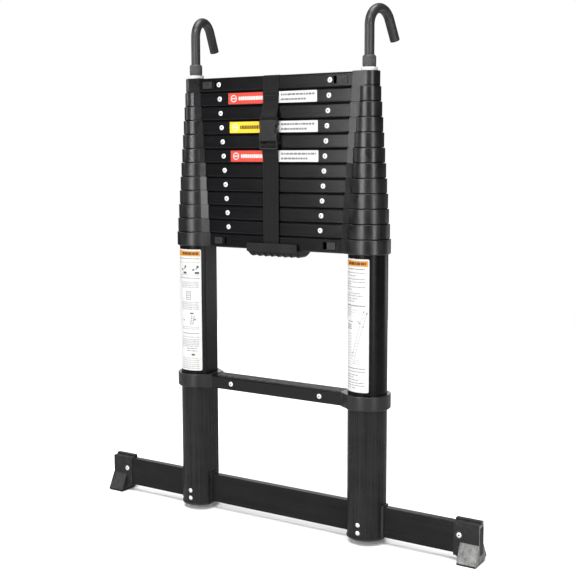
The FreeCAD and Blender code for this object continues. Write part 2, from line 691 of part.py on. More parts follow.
def hook_bush():
    """Pale nylon bush on top of collar 1."""
    seat = collar_z(1) + COLLAR_HEIGHT
    flange = Part.makeCylinder(BUSH_FLANGE_R, STACK_Z + BUSH_TOP - seat, V(-STILE_X, 0, seat))
    neck_part = Part.makeCylinder(BUSH_NECK_R, COLLAR_LIP, V(-STILE_X, 0, seat - COLLAR_LIP))
    bore = Part.makeCylinder(HOOK_R + CLEAR, 40, V(-STILE_X, 0, seat - 20))
    return flange.fuse(neck_part).cut(bore)


def hook_nodes():
    hook = hook_body()
    keep("hook_left", [hook])
    keep("hook_right", [mirrored(hook)])
    sleeve = hook_sleeve()
    keep("hook_sleeve_left", [sleeve])
    keep("hook_sleeve_right", [mirrored(sleeve)])
    keep("hook_bushes", both_sides([hook_bush()]))


# ---- strap ----

def strap_upper():
    """Webbing looped round rung 1 and sewn to its own front run down to the buckle."""
    x0, x1 = STRAP_X - STRAP_HALF_WIDTH, STRAP_X + STRAP_HALF_WIDTH
    z0 = collar_z(1)
    z1 = z0 + RUNG_HEIGHT
    inner = RUNG_HALF_DEPTH + WEB_GAP
    under = 1.1
    loop = box(x0, x1, -inner - WEB, inner + WEB, z0 - WEB_GAP - under, z1 + WEB_GAP + WEB)
    loop = loop.cut(box(x0 - 1, x1 + 1, -inner, inner, z0 - WEB_GAP, z1 + WEB_GAP))
    front = box(x0, x1, -inner - WEB, -inner, STACK_Z + SOCKET_Z[1] - 20.0, z0)
    return loop.fuse(front).removeSplitter()


def buckle_shell(z0, z1):
    """Rounded outer block of one half of the buckle."""
    x0, x1 = STRAP_X - BUCKLE_HALF_WIDTH, STRAP_X + BUCKLE_HALF_WIDTH
    shell = box(x0, x1, BUCKLE_Y[0], BUCKLE_Y[1], z0, z1)
    return soften(shell, ALONG_Y, 3.5)


def buckle_socket():
    """Female half, open at the bottom for the prongs."""
    z0, z1 = (STACK_Z + value for value in SOCKET_Z)
    shell = buckle_shell(z0, z1)
    half = BUCKLE_HALF_WIDTH - BUCKLE_WALL
    front, back = BUCKLE_Y[0] + BUCKLE_WALL, BUCKLE_Y[1] - BUCKLE_WALL
    shell = shell.cut(box(STRAP_X - half, STRAP_X + half, front, back, z0 - 1, z1 - SOCKET_TOP_WALL))
    low, high = (STACK_Z + value for value in SIDE_WINDOW_Z)
    edge = BUCKLE_HALF_WIDTH
    for x0, x1 in ((-edge - 1, -edge + SIDE_WINDOW_DEPTH), (edge - SIDE_WINDOW_DEPTH, edge + 1)):
        shell = shell.cut(box(STRAP_X + x0, STRAP_X + x1, BUCKLE_Y[0] - 1, BUCKLE_Y[1] + 1, low, high))
    return shell


def buckle_plug():
    """Male half: frame with a strap window, and three prongs inside the socket."""
    z0, z1 = (STACK_Z + value for value in PLUG_Z)
    frame = buckle_shell(z0, z1)
    slot_half = BUCKLE_HALF_WIDTH - BUCKLE_WALL
    for low, high in PLUG_SLOTS:
        frame = frame.cut(box(STRAP_X - slot_half, STRAP_X + slot_half,
                              BUCKLE_Y[0] - 1, BUCKLE_Y[1] + 1, z0 + low, z0 + high))
    prongs = []
    outer, middle = PRONG_REACH
    for offset, reach in ((-PRONG_OFFSET, outer), (0.0, middle), (PRONG_OFFSET, outer)):
        x = STRAP_X + offset
        prongs.append(box(x - PRONG_HALF_WIDTH, x + PRONG_HALF_WIDTH, BUCKLE_Y[0] + PRONG_INSET,
                          BUCKLE_Y[1] - PRONG_INSET, z1 - 2, z1 + reach))
    return frame.fuse(prongs)


def strap_lower():
    """Webbing from the fold line at the grip up to the buckle plug."""
    x0, x1 = STRAP_X - STRAP_HALF_WIDTH, STRAP_X + STRAP_HALF_WIDTH
    return box(x0, x1, LOWER_WEB_Y[0], LOWER_WEB_Y[1], STACK_Z + FOLD_Z + 0.4, STACK_Z + PLUG_Z[0] - 0.1)


def strap_nodes():
    keep("strap_upper", [strap_upper()])
    keep("buckle_socket", [buckle_socket()])
    keep("buckle_plug", [buckle_plug()])
    keep("strap_lower", [strap_lower()])


def main():
    os.makedirs("parts", exist_ok=True)
    for k in range(1, STACK):
        section_nodes(k)
    base_nodes()
    slider_nodes()
    hook_nodes()
    strap_nodes()


main()
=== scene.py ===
import json
import math
import random

import bmesh
import bpy
from mathutils import Matrix, Vector


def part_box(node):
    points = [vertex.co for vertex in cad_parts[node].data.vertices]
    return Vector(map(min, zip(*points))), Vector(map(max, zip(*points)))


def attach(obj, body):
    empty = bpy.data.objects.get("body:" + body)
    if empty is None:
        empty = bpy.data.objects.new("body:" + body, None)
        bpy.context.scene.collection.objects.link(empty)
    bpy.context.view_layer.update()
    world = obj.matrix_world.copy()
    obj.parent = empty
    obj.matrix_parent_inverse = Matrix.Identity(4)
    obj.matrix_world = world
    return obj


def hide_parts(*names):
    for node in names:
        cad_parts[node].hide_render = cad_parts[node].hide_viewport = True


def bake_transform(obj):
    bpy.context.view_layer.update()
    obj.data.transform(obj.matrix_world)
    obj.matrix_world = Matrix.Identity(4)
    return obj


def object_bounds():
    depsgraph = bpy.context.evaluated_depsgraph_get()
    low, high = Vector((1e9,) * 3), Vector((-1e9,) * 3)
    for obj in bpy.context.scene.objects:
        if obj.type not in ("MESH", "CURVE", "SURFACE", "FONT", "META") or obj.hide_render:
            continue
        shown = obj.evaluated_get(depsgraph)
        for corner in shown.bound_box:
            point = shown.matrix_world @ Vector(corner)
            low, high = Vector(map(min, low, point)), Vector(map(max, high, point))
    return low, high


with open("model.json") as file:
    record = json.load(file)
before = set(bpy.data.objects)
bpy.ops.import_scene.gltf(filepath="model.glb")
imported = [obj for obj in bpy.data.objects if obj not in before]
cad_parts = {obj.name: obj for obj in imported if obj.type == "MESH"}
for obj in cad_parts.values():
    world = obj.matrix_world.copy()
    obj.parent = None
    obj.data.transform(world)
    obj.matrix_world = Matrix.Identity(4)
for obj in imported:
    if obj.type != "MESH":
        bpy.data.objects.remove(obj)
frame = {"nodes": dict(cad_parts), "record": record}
cad_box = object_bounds()

# Looks for a closed telescoping ladder. Sizes are in metres; MM turns millimetres into them.
MM = 0.001
scene = bpy.context.scene
nodes = frame["nodes"]

# ---- places taken from the frame ----
tube_low, tube_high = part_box("base_tubes")
OUTER_R = (tube_high.y - tube_low.y) / 2
AXIS_Y = (tube_high.y + tube_low.y) / 2
STILE_X = tube_high.x - OUTER_R
RIVET_PROUD = 1.2 * MM          # how far the CAD's rivet heads stand out of a rung
RUNG_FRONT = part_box("rung_02")[0].y + RIVET_PROUD
RUNG_BACK = 2 * AXIS_Y - RUNG_FRONT
RUNG_HEIGHT = 26 * MM
GRIP_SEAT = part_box("base_rung")[0].z        # underside of rung 12
SECTIONS = ["%02d" % number for number in range(1, 12)]
RUNG_NODES = {"rung_" + name: "section_" + name for name in SECTIONS}
RUNG_NODES.update({"base_rung": "base", "lower_rung": "base"})
SIDES = (("left", -1), ("right", 1))
STRAP_X = sum(corner.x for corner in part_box("strap_upper")) / 2


# ---- material building blocks ----
WAVE_TURN = math.tau / 20       # the wave texture turns 20 radians in one unit at scale 1
# Height over which the painted floor reflection fades out.
REFLECTION_FADE = 20 * MM


class Finish:
    """One procedural material: a principled shader and the textures that feed it."""

    def __init__(self, name, roughness, metallic=0.0, specular=0.5, **sockets):
        self.material = bpy.data.materials.new(name)
        self.material.use_nodes = True
        self.tree = self.material.node_tree
        self.shader = self.tree.nodes["Principled BSDF"]
        self.shader.inputs["Roughness"].default_value = roughness
        self.shader.inputs["Metallic"].default_value = metallic
        self.shader.inputs["Specular IOR Level"].default_value = specular
        for socket, value in sockets.items():
            self.shader.inputs[socket.replace("_", " ")].default_value = value

    def add(self, kind, inputs=(), **settings):
        node = self.tree.nodes.new(kind)
        for key, value in settings.items():
            setattr(node, key, value)
        for socket, value in dict(inputs).items():
            if isinstance(value, bpy.types.NodeSocket):
                self.tree.links.new(value, node.inputs[socket])
            else:
                node.inputs[socket].default_value = value
        return node

    def link(self, value, socket):
        self.tree.links.new(value, self.shader.inputs[socket])

    def place(self, stretch=(1, 1, 1), source="Object"):
        """Surface coordinates in metres, multiplied by a stretch on each axis."""
        coordinates = self.add("ShaderNodeTexCoord").outputs[source]
        return self.add("ShaderNodeMapping", {"Vector": coordinates, "Scale": stretch}).outputs["Vector"]

    def noise(self, scale, stretch=(1, 1, 1), detail=4.0, rough=0.55, warp=0.0, source="Object"):
        inputs = {"Vector": self.place(stretch, source), "Scale": scale, "Detail": detail,
                  "Roughness": rough, "Distortion": warp}
        return self.add("ShaderNodeTexNoise", inputs).outputs["Fac"]

    def wave(self, period, axis):
        """Smooth ribs across one axis of the UVs, one rib in each period of metres."""
        inputs = {"Vector": self.place(source="UV"), "Scale": WAVE_TURN / period}
        return self.add("ShaderNodeTexWave", inputs, bands_direction=axis, wave_profile="SIN").outputs["Fac"]

    def ramp(self, value, low, high, low_value=0.0, high_value=1.0):
        """Maps a stretch of a 0 to 1 value onto another one, held at its ends."""
        inputs = {"Value": value, "From Min": low, "From Max": high,
                  "To Min": low_value, "To Max": high_value}
        return self.add("ShaderNodeMapRange", inputs).outputs["Result"]

    def math(self, operation, first, second):
        node = self.add("ShaderNodeMath", operation=operation)
        for socket, value in zip(node.inputs, (first, second)):
            if isinstance(value, bpy.types.NodeSocket):
                self.tree.links.new(value, socket)
            else:
                socket.default_value = value
        return node.outputs["Value"]

    def blend_colour(self, factor, first, second):
        node = self.add("ShaderNodeMix", data_type="RGBA")
        for index, value in ((0, factor), (6, first), (7, second)):
            if isinstance(value, bpy.types.NodeSocket):
                self.tree.links.new(value, node.inputs[index])
            elif index:
                node.inputs[index].default_value = (*value, 1.0)
            else:
                node.inputs[index].default_value = value
        return node.outputs[2]

    def bump(self, height, strength, depth):
        inputs = {"Height": height, "Strength": strength, "Distance": depth}
        self.link(self.add("ShaderNodeBump", inputs).outputs["Normal"], "Normal")


def plain_grey(value, blue=0.0):
    return (value, value, value * (1 + blue))


def streaked_metal(name, stretch, dark, light, rough, metallic=0.0, specular=0.5, relief=0.12, floor_reflection=None):
    """Coated metal with fine drawn lines along one direction; a painted reflection of the floor can grey it
    below a height.
    """
    finish = Finish(name, rough[0], metallic, specular)
    lines = finish.noise(1.0, stretch, detail=5.0, rough=0.7)
    clouds = finish.noise(22.0, detail=3.0)
    mixed = finish.math("ADD", finish.math("MULTIPLY", lines, 0.7), finish.math("MULTIPLY", clouds, 0.3))
    factor = finish.ramp(mixed, 0.35, 0.65)
    colour = finish.blend_colour(factor, dark, light)
    if floor_reflection:
        # Painted floor reflection: below the given height the colour blends to paler greys.
        height, reflected_greys = floor_reflection
        place = finish.add("ShaderNodeSeparateXYZ", {"Vector": finish.place()})
        low = finish.ramp(place.outputs["Z"], height - REFLECTION_FADE, height, 1.0, 0.0)
        colour = finish.blend_colour(low, colour, finish.blend_colour(factor, *reflected_greys))
    finish.link(colour, "Base Color")
    finish.link(finish.ramp(mixed, 0.3, 0.7, rough[0], rough[1]), "Roughness")
    finish.bump(lines, relief, 0.05 * MM)
    return finish.material


def moulded_plastic(name, dark, light, rough, specular=0.5):
    """Glass-filled nylon: cloudy colour, fine pitted grain and a little flow marking."""
    finish = Finish(name, rough[0], 0.0, specular)
    clouds = finish.noise(35.0, (1, 1, 0.6), detail=6.0, rough=0.6, warp=0.8)
    pits = finish.noise(900.0, detail=2.0, rough=0.5)
    factor = finish.ramp(clouds, 0.3, 0.7)
    finish.link(finish.blend_colour(factor, plain_grey(*dark), plain_grey(*light)), "Base Color")
    mixed = finish.math("ADD", finish.math("MULTIPLY", clouds, 0.6), finish.math("MULTIPLY", pits, 0.4))
    finish.link(finish.ramp(mixed, 0.3, 0.7, rough[0], rough[1]), "Roughness")
    finish.bump(pits, 0.35, 0.06 * MM)
    return finish.material


def scuffed_rubber():
    """Black rubber with pale dust and scuffs."""
    finish = Finish("foot_rubber", 0.62, specular=0.35)
    dust = finish.noise(160.0, detail=8.0, rough=0.7, warp=0.6)
    patches = finish.noise(30.0, detail=3.0)
    mask = finish.math("MULTIPLY", finish.ramp(dust, 0.52, 0.72), finish.ramp(patches, 0.4, 0.65))
    finish.link(finish.blend_colour(mask, (0.010, 0.010, 0.011), (0.085, 0.080, 0.078)), "Base Color")
    finish.link(finish.ramp(dust, 0.3, 0.7, 0.5, 0.8), "Roughness")
    finish.bump(finish.noise(1400.0, detail=3.0), 0.4, 0.1 * MM)
    return finish.material


def mottled_rubber(name, dark, light):
    """Mottled grey rubber, for the splayed toe faces and the end faces."""
    finish = Finish(name, 0.7, specular=0.3)
    dust = finish.noise(120.0, (1, 1, 0.5), detail=8.0, rough=0.7, warp=0.4)
    factor = finish.ramp(dust, 0.3, 0.7)
    finish.link(finish.blend_colour(factor, plain_grey(dark, -0.03), plain_grey(light, -0.03)), "Base Color")
    finish.link(finish.ramp(dust, 0.3, 0.7, 0.6, 0.85), "Roughness")
    finish.bump(dust, 0.3, 0.2 * MM)
    return finish.material


def bright_metal():
    finish = Finish("rivet_metal", 0.45, metallic=0.55)
    scratches = finish.noise(700.0, (1, 1, 0.3), detail=5.0, rough=0.7)
    factor = finish.ramp(scratches, 0.3, 0.7)
    finish.link(finish.blend_colour(factor, (0.78, 0.78, 0.79), (0.93, 0.93, 0.93)), "Base Color")
    finish.link(finish.ramp(scratches, 0.3, 0.7, 0.38, 0.52), "Roughness")
    finish.bump(scratches, 0.15, 0.02 * MM)
    return finish.material


def woven_webbing():
    """Flat black webbing: ribs along the strap crossed by the weft."""
    finish = Finish("webbing", 0.8, specular=0.2, Sheen_Weight=0.12, Sheen_Roughness=0.4)
    rib = finish.wave(2.96 * MM, "X")
    weft = finish.wave(2.17 * MM, "Y")
    weave = finish.math("MULTIPLY", rib, finish.ramp(weft, 0.0, 1.0, 0.45, 1.0))
    fuzz = finish.noise(900.0, detail=3.0, source="UV")
    height = finish.math("ADD", weave, finish.math("MULTIPLY", fuzz, 0.3))
    factor = finish.ramp(height, 0.2, 1.0)
    finish.link(finish.blend_colour(factor, (0.002, 0.002, 0.0023), (0.012, 0.012, 0.013)), "Base Color")
    finish.link(finish.ramp(fuzz, 0.3, 0.7, 0.7, 0.9), "Roughness")
    finish.bump(height, 0.6, 0.25 * MM)
    return finish.material


def printed_film(name, colour, fade):
    """Glossy vinyl film with slightly uneven ink."""
    finish = Finish(name, 0.4, specular=0.4)
    ink = finish.noise(260.0, detail=5.0, rough=0.6)
    finish.link(finish.blend_colour(finish.ramp(ink, 0.3, 0.7), colour, fade), "Base Color")
    finish.link(finish.ramp(ink, 0.3, 0.7, 0.35, 0.5), "Roughness")
    finish.bump(finish.noise(60.0, detail=2.0), 0.05, 0.05 * MM)
    return finish.material


def pale_floor():
    """Pale sweep that shows only dimly in the object's own reflections."""
    finish = Finish("floor", 0.9, specular=0.1, Emission_Color=(1, 1, 1, 1), Emission_Strength=0.08)
    cloud = finish.noise(1.5, detail=3.0)
    paper = finish.blend_colour(finish.ramp(cloud, 0.3, 0.7), (0.90, 0.90, 0.90), (0.93, 0.93, 0.93))
    mirrored = finish.add("ShaderNodeLightPath").outputs["Is Glossy Ray"]
    finish.link(finish.blend_colour(mirrored, paper, (0.27, 0.27, 0.27)), "Base Color")
    return finish.material


ACROSS = (3, 300, 420)          # drawn lines along X
UPRIGHT = (420, 420, 3)         # drawn lines along Z
finishes = {
    "tube_black": streaked_metal("tube_black", UPRIGHT, plain_grey(0.004, 0.1), plain_grey(0.010, 0.12),
                                 (0.22, 0.34), specular=0.14),
    "rung_black": streaked_metal("rung_black", ACROSS, plain_grey(0.0022, 0.2), plain_grey(0.0040, 0.25),
                                 (0.20, 0.27), specular=0.45, relief=0.03),
    "bar_black": streaked_metal("bar_black", ACROSS, plain_grey(0.006, 0.0), plain_grey(0.013, 0.0),
                                (0.26, 0.38), specular=0.16, relief=0.05),
    "hook_coat": streaked_metal("hook_coat", UPRIGHT, plain_grey(0.027, 0.06), plain_grey(0.056, 0.06),
                                (0.30, 0.44), metallic=0.3),
    "foot_rubber": scuffed_rubber(),
    "rivet_metal": bright_metal(),
    "webbing": woven_webbing(),
}
PLASTICS = {        # darkest and palest grey with their blue, range of roughness, specular
    "collar_plastic": ((0.003, 0.14), (0.012, 0.12), (0.24, 0.42), 0.62),
    "cap_plastic": ((0.010, 0.05), (0.024, 0.05), (0.35, 0.5)),
    "grip_plastic": ((0.004, 0.06), (0.010, 0.06), (0.42, 0.58), 0.28),
    "sleeve_plastic": ((0.030, 0.0), (0.065, 0.0), (0.40, 0.55)),
    "slider_plastic": ((0.013, 0.04), (0.030, 0.04), (0.40, 0.55)),
    "bush_nylon": ((0.63, 0.0), (0.73, 0.0), (0.35, 0.5)),
    "buckle_plastic": ((0.004, 0.05), (0.011, 0.08), (0.30, 0.42)),
}
finishes.update({name: moulded_plastic(name, *look) for name, look in PLASTICS.items()})
# Outer tubes: below the lower collars' top their colour is greyed to these paler greys as a painted
# reflection of the floor.
FLOOR_REFLECTION_GREYS = (plain_grey(0.009), plain_grey(0.021))
OUTER_TUBE = streaked_metal("outer_tube_black", UPRIGHT, plain_grey(0.0025, 0.1), plain_grey(0.007, 0.12),
                            (0.22, 0.34), specular=0.14, floor_reflection=(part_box("lower_collars")[1].z, FLOOR_REFLECTION_GREYS))
# Toe faces of the two feet, one moulding: the right toe's greys are far paler than the left toe's.
TOE_GREYS = {
    "left": mottled_rubber("foot_toe_left", 0.009, 0.040),
    "right": mottled_rubber("foot_toe_right", 0.065, 0.26),
}
DUSTY_END = mottled_rubber("foot_dusty_end", 0.07, 0.22)
FILM_WHITE = printed_film("film_white", (0.54, 0.54, 0.535), (0.59, 0.59, 0.585))
FILM_RED = printed_film("film_red", (0.50, 0.035, 0.02), (0.56, 0.055, 0.035))
FILM_YELLOW = printed_film("film_yellow", (0.74, 0.47, 0.01), (0.80, 0.53, 0.02))
FILM_ORANGE = printed_film("film_orange", (0.52, 0.21, 0.03), (0.58, 0.25, 0.04))
FILM_GREY = printed_film("film_grey", (0.12, 0.12, 0.12), (0.20, 0.20, 0.20))
FILM_PALE = printed_film("film_pale", (0.30, 0.30, 0.30), (0.40, 0.40, 0.40))
FILM_GREEN = printed_film("film_green", (0.02, 0.09, 0.02), (0.03, 0.12, 0.03))
# Dark film: print on the labels, and painted shade in the rivets' centre holes.
FILM_DARK_AND_HOLE_SHADE = printed_film("film_dark_and_hole_shade", (0.03, 0.03, 0.03), (0.06, 0.06, 0.06))
FILM_BROWN = printed_film("film_brown", (0.07, 0.035, 0.008), (0.11, 0.05, 0.01))
THREAD = printed_film("thread", (0.012, 0.012, 0.012), (0.03, 0.03, 0.03))


def finish_cad_nodes():
    """Gives each carried-over CAD node the finish of its own record slot; the outer tubes get their own
    finish, greyed below the lower collars' top as a painted reflection of the floor.
    """
    slots = {part["node"]: part["material_slot"] for part in frame["record"]["subparts"]}
    for name, node in nodes.items():
        slot = slots[name]
        node.data.materials.clear()
        node.data.materials.append(OUTER_TUBE if name == "base_tubes" else finishes[slot])


# ---- mesh building blocks ----

def bridge(mesh, rings, finish=0, closed=False):
    """Skins rings of vertices: the first and the last are capped, or joined when closed."""
    faces = [] if closed else [mesh.faces.new(rings[0]), mesh.faces.new(rings[-1][::-1])]
    following = rings[1:] + rings[:1] if closed else rings[1:]
    for near, far in zip(rings, following):
        for i in range(len(near)):
            j = (i + 1) % len(near)
            faces.append(mesh.faces.new((near[j], near[i], far[i], far[j])))
    for face in faces:
        face.material_index = finish
    return faces


def extrude(mesh, outline, depth, finish=0):
    """Adds a closed solid between an outline and the same outline moved by depth."""
    near = [mesh.verts.new(point) for point in outline]
    far = [mesh.verts.new(Vector(point) + Vector(depth)) for point in outline]
    return bridge(mesh, [near, far], finish)


def block(mesh, low, high, finish=0):
    """Adds a box between two corners."""
    outline = [(low[0], low[1], low[2]), (high[0], low[1], low[2]),
               (high[0], low[1], high[2]), (low[0], low[1], high[2])]
    return extrude(mesh, outline, (0, high[1] - low[1], 0), finish)


def lathe(mesh, profile, centre, direction, steps=32, finish=0):
    """Adds a turned solid; the profile is (radius, height along direction), from axis to axis."""
    turn = Vector((0, 0, 1)).rotation_difference(Vector(direction)).to_matrix()
    rings = []
    for radius, height in profile:
        ring = []
        for i in range(steps if radius > 0 else 1):
            angle = 2 * math.pi * i / steps
            local = Vector((radius * math.cos(angle), radius * math.sin(angle), height))
            ring.append(mesh.verts.new(Vector(centre) + turn @ local))
        rings.append(ring)
    for first, second in zip(rings, rings[1:]):
        for i in range(steps):
            j = (i + 1) % steps
            corners = [first[i % len(first)], first[j % len(first)],
                       second[j % len(second)], second[i % len(second)]]
            unique = list(dict.fromkeys(corners))
            if len(unique) > 2:
                mesh.faces.new(unique).material_index = finish


def rounded_outline(low, high, radius, y):
    """Rounded rectangle in an upright plane at y, as points going round it."""
    points = []
    steps = 5
    corners = ((high[0] - radius, high[1] - radius, 0), (low[0] + radius, high[1] - radius, 90),
               (low[0] + radius, low[1] + radius, 180), (high[0] - radius, low[1] + radius, 270))
    for x, z, start in corners:
        for i in range(steps + 1):
            angle = math.radians(start + 90 * i / steps)
            points.append((x + radius * math.cos(angle), y, z + radius * math.sin(angle)))
    return points


def finished(name, mesh, body, materials, bevel=0.0, smooth_angle=35):
    """Turns a bmesh into a named piece that rides on a body."""
    bmesh.ops.recalc_face_normals(mesh, faces=mesh.faces)
    data = bpy.data.meshes.new(name)
    mesh.to_mesh(data)
    mesh.free()
    for material in materials:
        data.materials.append(material)
    piece = bpy.data.objects.new(name, data)
    scene.collection.objects.link(piece)
    data.shade_smooth()
    data.set_sharp_from_angle(angle=math.radians(smooth_angle))
    if bevel:
        edge = piece.modifiers.new("edges", "BEVEL")
        edge.width = bevel
        edge.segments = 3
        edge.limit_method = "ANGLE"
        edge.angle_limit = math.radians(smooth_angle)
        edge.harden_normals = True
    if body:
        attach(piece, body)
    return piece


# ---- rivets ----
RIVET_FROM_END = 48 * MM        # from the end of a rung
RIVET_HEAD = ((5.0, -0.2), (5.0, 0.25), (4.8, 0.7), (4.2, 1.1), (3.3, 1.4), (2.3, 1.6), (1.8, 1.6),
              (1.6, 1.1))
# Centre of each rivet head: a shallow cup painted near-black, painted shade standing in for the rivet's hole.
RIVET_HOLE_SHADE = ((1.6, 1.1), (1.4, 1.2), (0.0, 1.25))
RIVET_FINISHES = [finishes["rivet_metal"], FILM_DARK_AND_HOLE_SHADE]


def rivet_head(mesh, x, y, z, facing):
    for finish, outline in enumerate((RIVET_HEAD, RIVET_HOLE_SHADE)):
        profile = [(radius * MM, height * MM) for radius, height in outline]
        lathe(mesh, profile, (x, y, z), (0, facing, 0), 28, finish)


def rung_rivets():
    """Pressed rivet heads, front and back, at both ends of each rung."""
    for node, body in RUNG_NODES.items():
        low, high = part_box(node)
        mesh = bmesh.new()
        middle = low.z + RUNG_HEIGHT / 2
        for side in (-1, 1):
            x = side * (high.x - RIVET_FROM_END)
            rivet_head(mesh, x, RUNG_BACK, middle, 1)
            if node != "base_rung":
                rivet_head(mesh, x, RUNG_FRONT, middle, -1)
        finished("rivets_" + node, mesh, body, RIVET_FINISHES, smooth_angle=60)


# ---- grooved treads ----
TREAD_RIBS = 9
TREAD_PITCH = 3.7 * MM
TREAD_RISE = 1.15 * MM
TREAD_HALF = 0.9 * MM
STRAP_ROOM = 20 * MM            # half the length left smooth where the strap goes round rung 1


def rung_treads():
    """Fine ribs along the top and underside of each rung."""
    strap_gap = [(None, STRAP_X - STRAP_ROOM), (STRAP_X + STRAP_ROOM, None)]
    for node, body in RUNG_NODES.items():
        low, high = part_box(node)
        mesh = bmesh.new()
        for base, rise in ((high.z, TREAD_RISE), (low.z, -TREAD_RISE)):
            strapped = node == "rung_01" or (node == "rung_02" and rise > 0)
            for start, end in (strap_gap if strapped else [(None, None)]):
                x0 = low.x if start is None else start
                x1 = high.x if end is None else end
                for i in range(TREAD_RIBS):
                    y = AXIS_Y + (i - (TREAD_RIBS - 1) / 2) * TREAD_PITCH
                    foot = base - 0.2 * rise
                    outline = [(x0, y - TREAD_HALF, foot), (x0, y + TREAD_HALF, foot),
                               (x0, y + TREAD_HALF / 2, base + rise), (x0, y - TREAD_HALF / 2, base + rise)]
                    extrude(mesh, outline, (x1 - x0, 0, 0))
        finished("tread_" + node, mesh, body, [finishes["rung_black"]])


# ---- stickers on rungs 2, 4 and 6 ----
STICKER_HALF_HEIGHT = 11 * MM
STICKERS = {"rung_02": (-104.7, 100.0, "red"), "rung_04": (-102.0, 101.7, "yellow"),
            "rung_06": (-100.3, 103.0, "red")}
FILM = 0.12 * MM
INK = 0.06 * MM


def flat_film(mesh, low, high, radius, level, finish):
    """Rounded patch of film on the rung's front; level counts the layers of ink above the film."""
    y = RUNG_FRONT - FILM - level * INK
    extrude(mesh, rounded_outline(low, high, radius, y), (0, FILM, 0), finish)


def word_bars(mesh, start, end, z, height, draw, finish, lengths=(3, 9)):
    """Row of plain bars of uneven length that stands for a line of print."""
    x = start
    while x < end - 2 * MM:
        stop = min(x + draw.uniform(*lengths) * MM, end)
        flat_film(mesh, (x, z - height / 2), (stop, z + height / 2), min(1 * MM, height * 0.3), 1, finish)
        x = stop + 1.0 * MM


def rung_stickers():
    """Coloured panel left of the strap, white panel with two plain lines right of it."""
    draw = random.Random(4)
    for node, (start, end, kind) in STICKERS.items():
        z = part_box(node)[0].z + RUNG_HEIGHT / 2
        bottom, top = z - STICKER_HALF_HEIGHT, z + STICKER_HALF_HEIGHT
        mesh = bmesh.new()
        flat_film(mesh, (start * MM, bottom), (STRAP_X, top), 1.5 * MM, 0, 0)
        flat_film(mesh, (STRAP_X + 1 * MM, bottom), (end * MM, top), 1.5 * MM, 0, 1)
        icon = (start + 13) * MM
        ring = 7.2 * MM
        flat_film(mesh, (icon - ring, z - ring), (icon + ring, z + ring), ring * 0.98, 1, 2)
        hole = ring * 0.74
        flat_film(mesh, (icon - hole, z - hole), (icon + hole, z + hole), hole * 0.98, 2, 0)
        flat_film(mesh, (icon - hole * 0.9, z - 1.1 * MM), (icon + hole * 0.9, z + 1.1 * MM), 1 * MM, 3, 2)
        word_bars(mesh, icon + 12 * MM, STRAP_X - 16 * MM, z, 7.4 * MM, draw, 4, (3.2, 5.4))
        word_bars(mesh, STRAP_X + 22 * MM, end * MM - 5 * MM, z + 4.6 * MM, 4.0 * MM, draw, 3)
        word_bars(mesh, STRAP_X + 22 * MM, end * MM - 24 * MM, z - 4.6 * MM, 4.0 * MM, draw, 3)
        panel = {"red": (FILM_RED, FILM_WHITE), "yellow": (FILM_YELLOW, FILM_BROWN)}[kind]
        finished("sticker_" + node, mesh, RUNG_NODES[node],
                 [panel[0], FILM_WHITE, FILM_WHITE, FILM_GREY, panel[1]])


# ---- printed labels on the outer tubes ----
LABEL_BOTTOM = GRIP_SEAT - 261 * MM
LABEL_TOP = GRIP_SEAT - 7.5 * MM
LABELS = {"left": (-57, 45), "right": (-60, 31)}     # degrees from straight ahead
LABEL_CORNER = 3 * MM


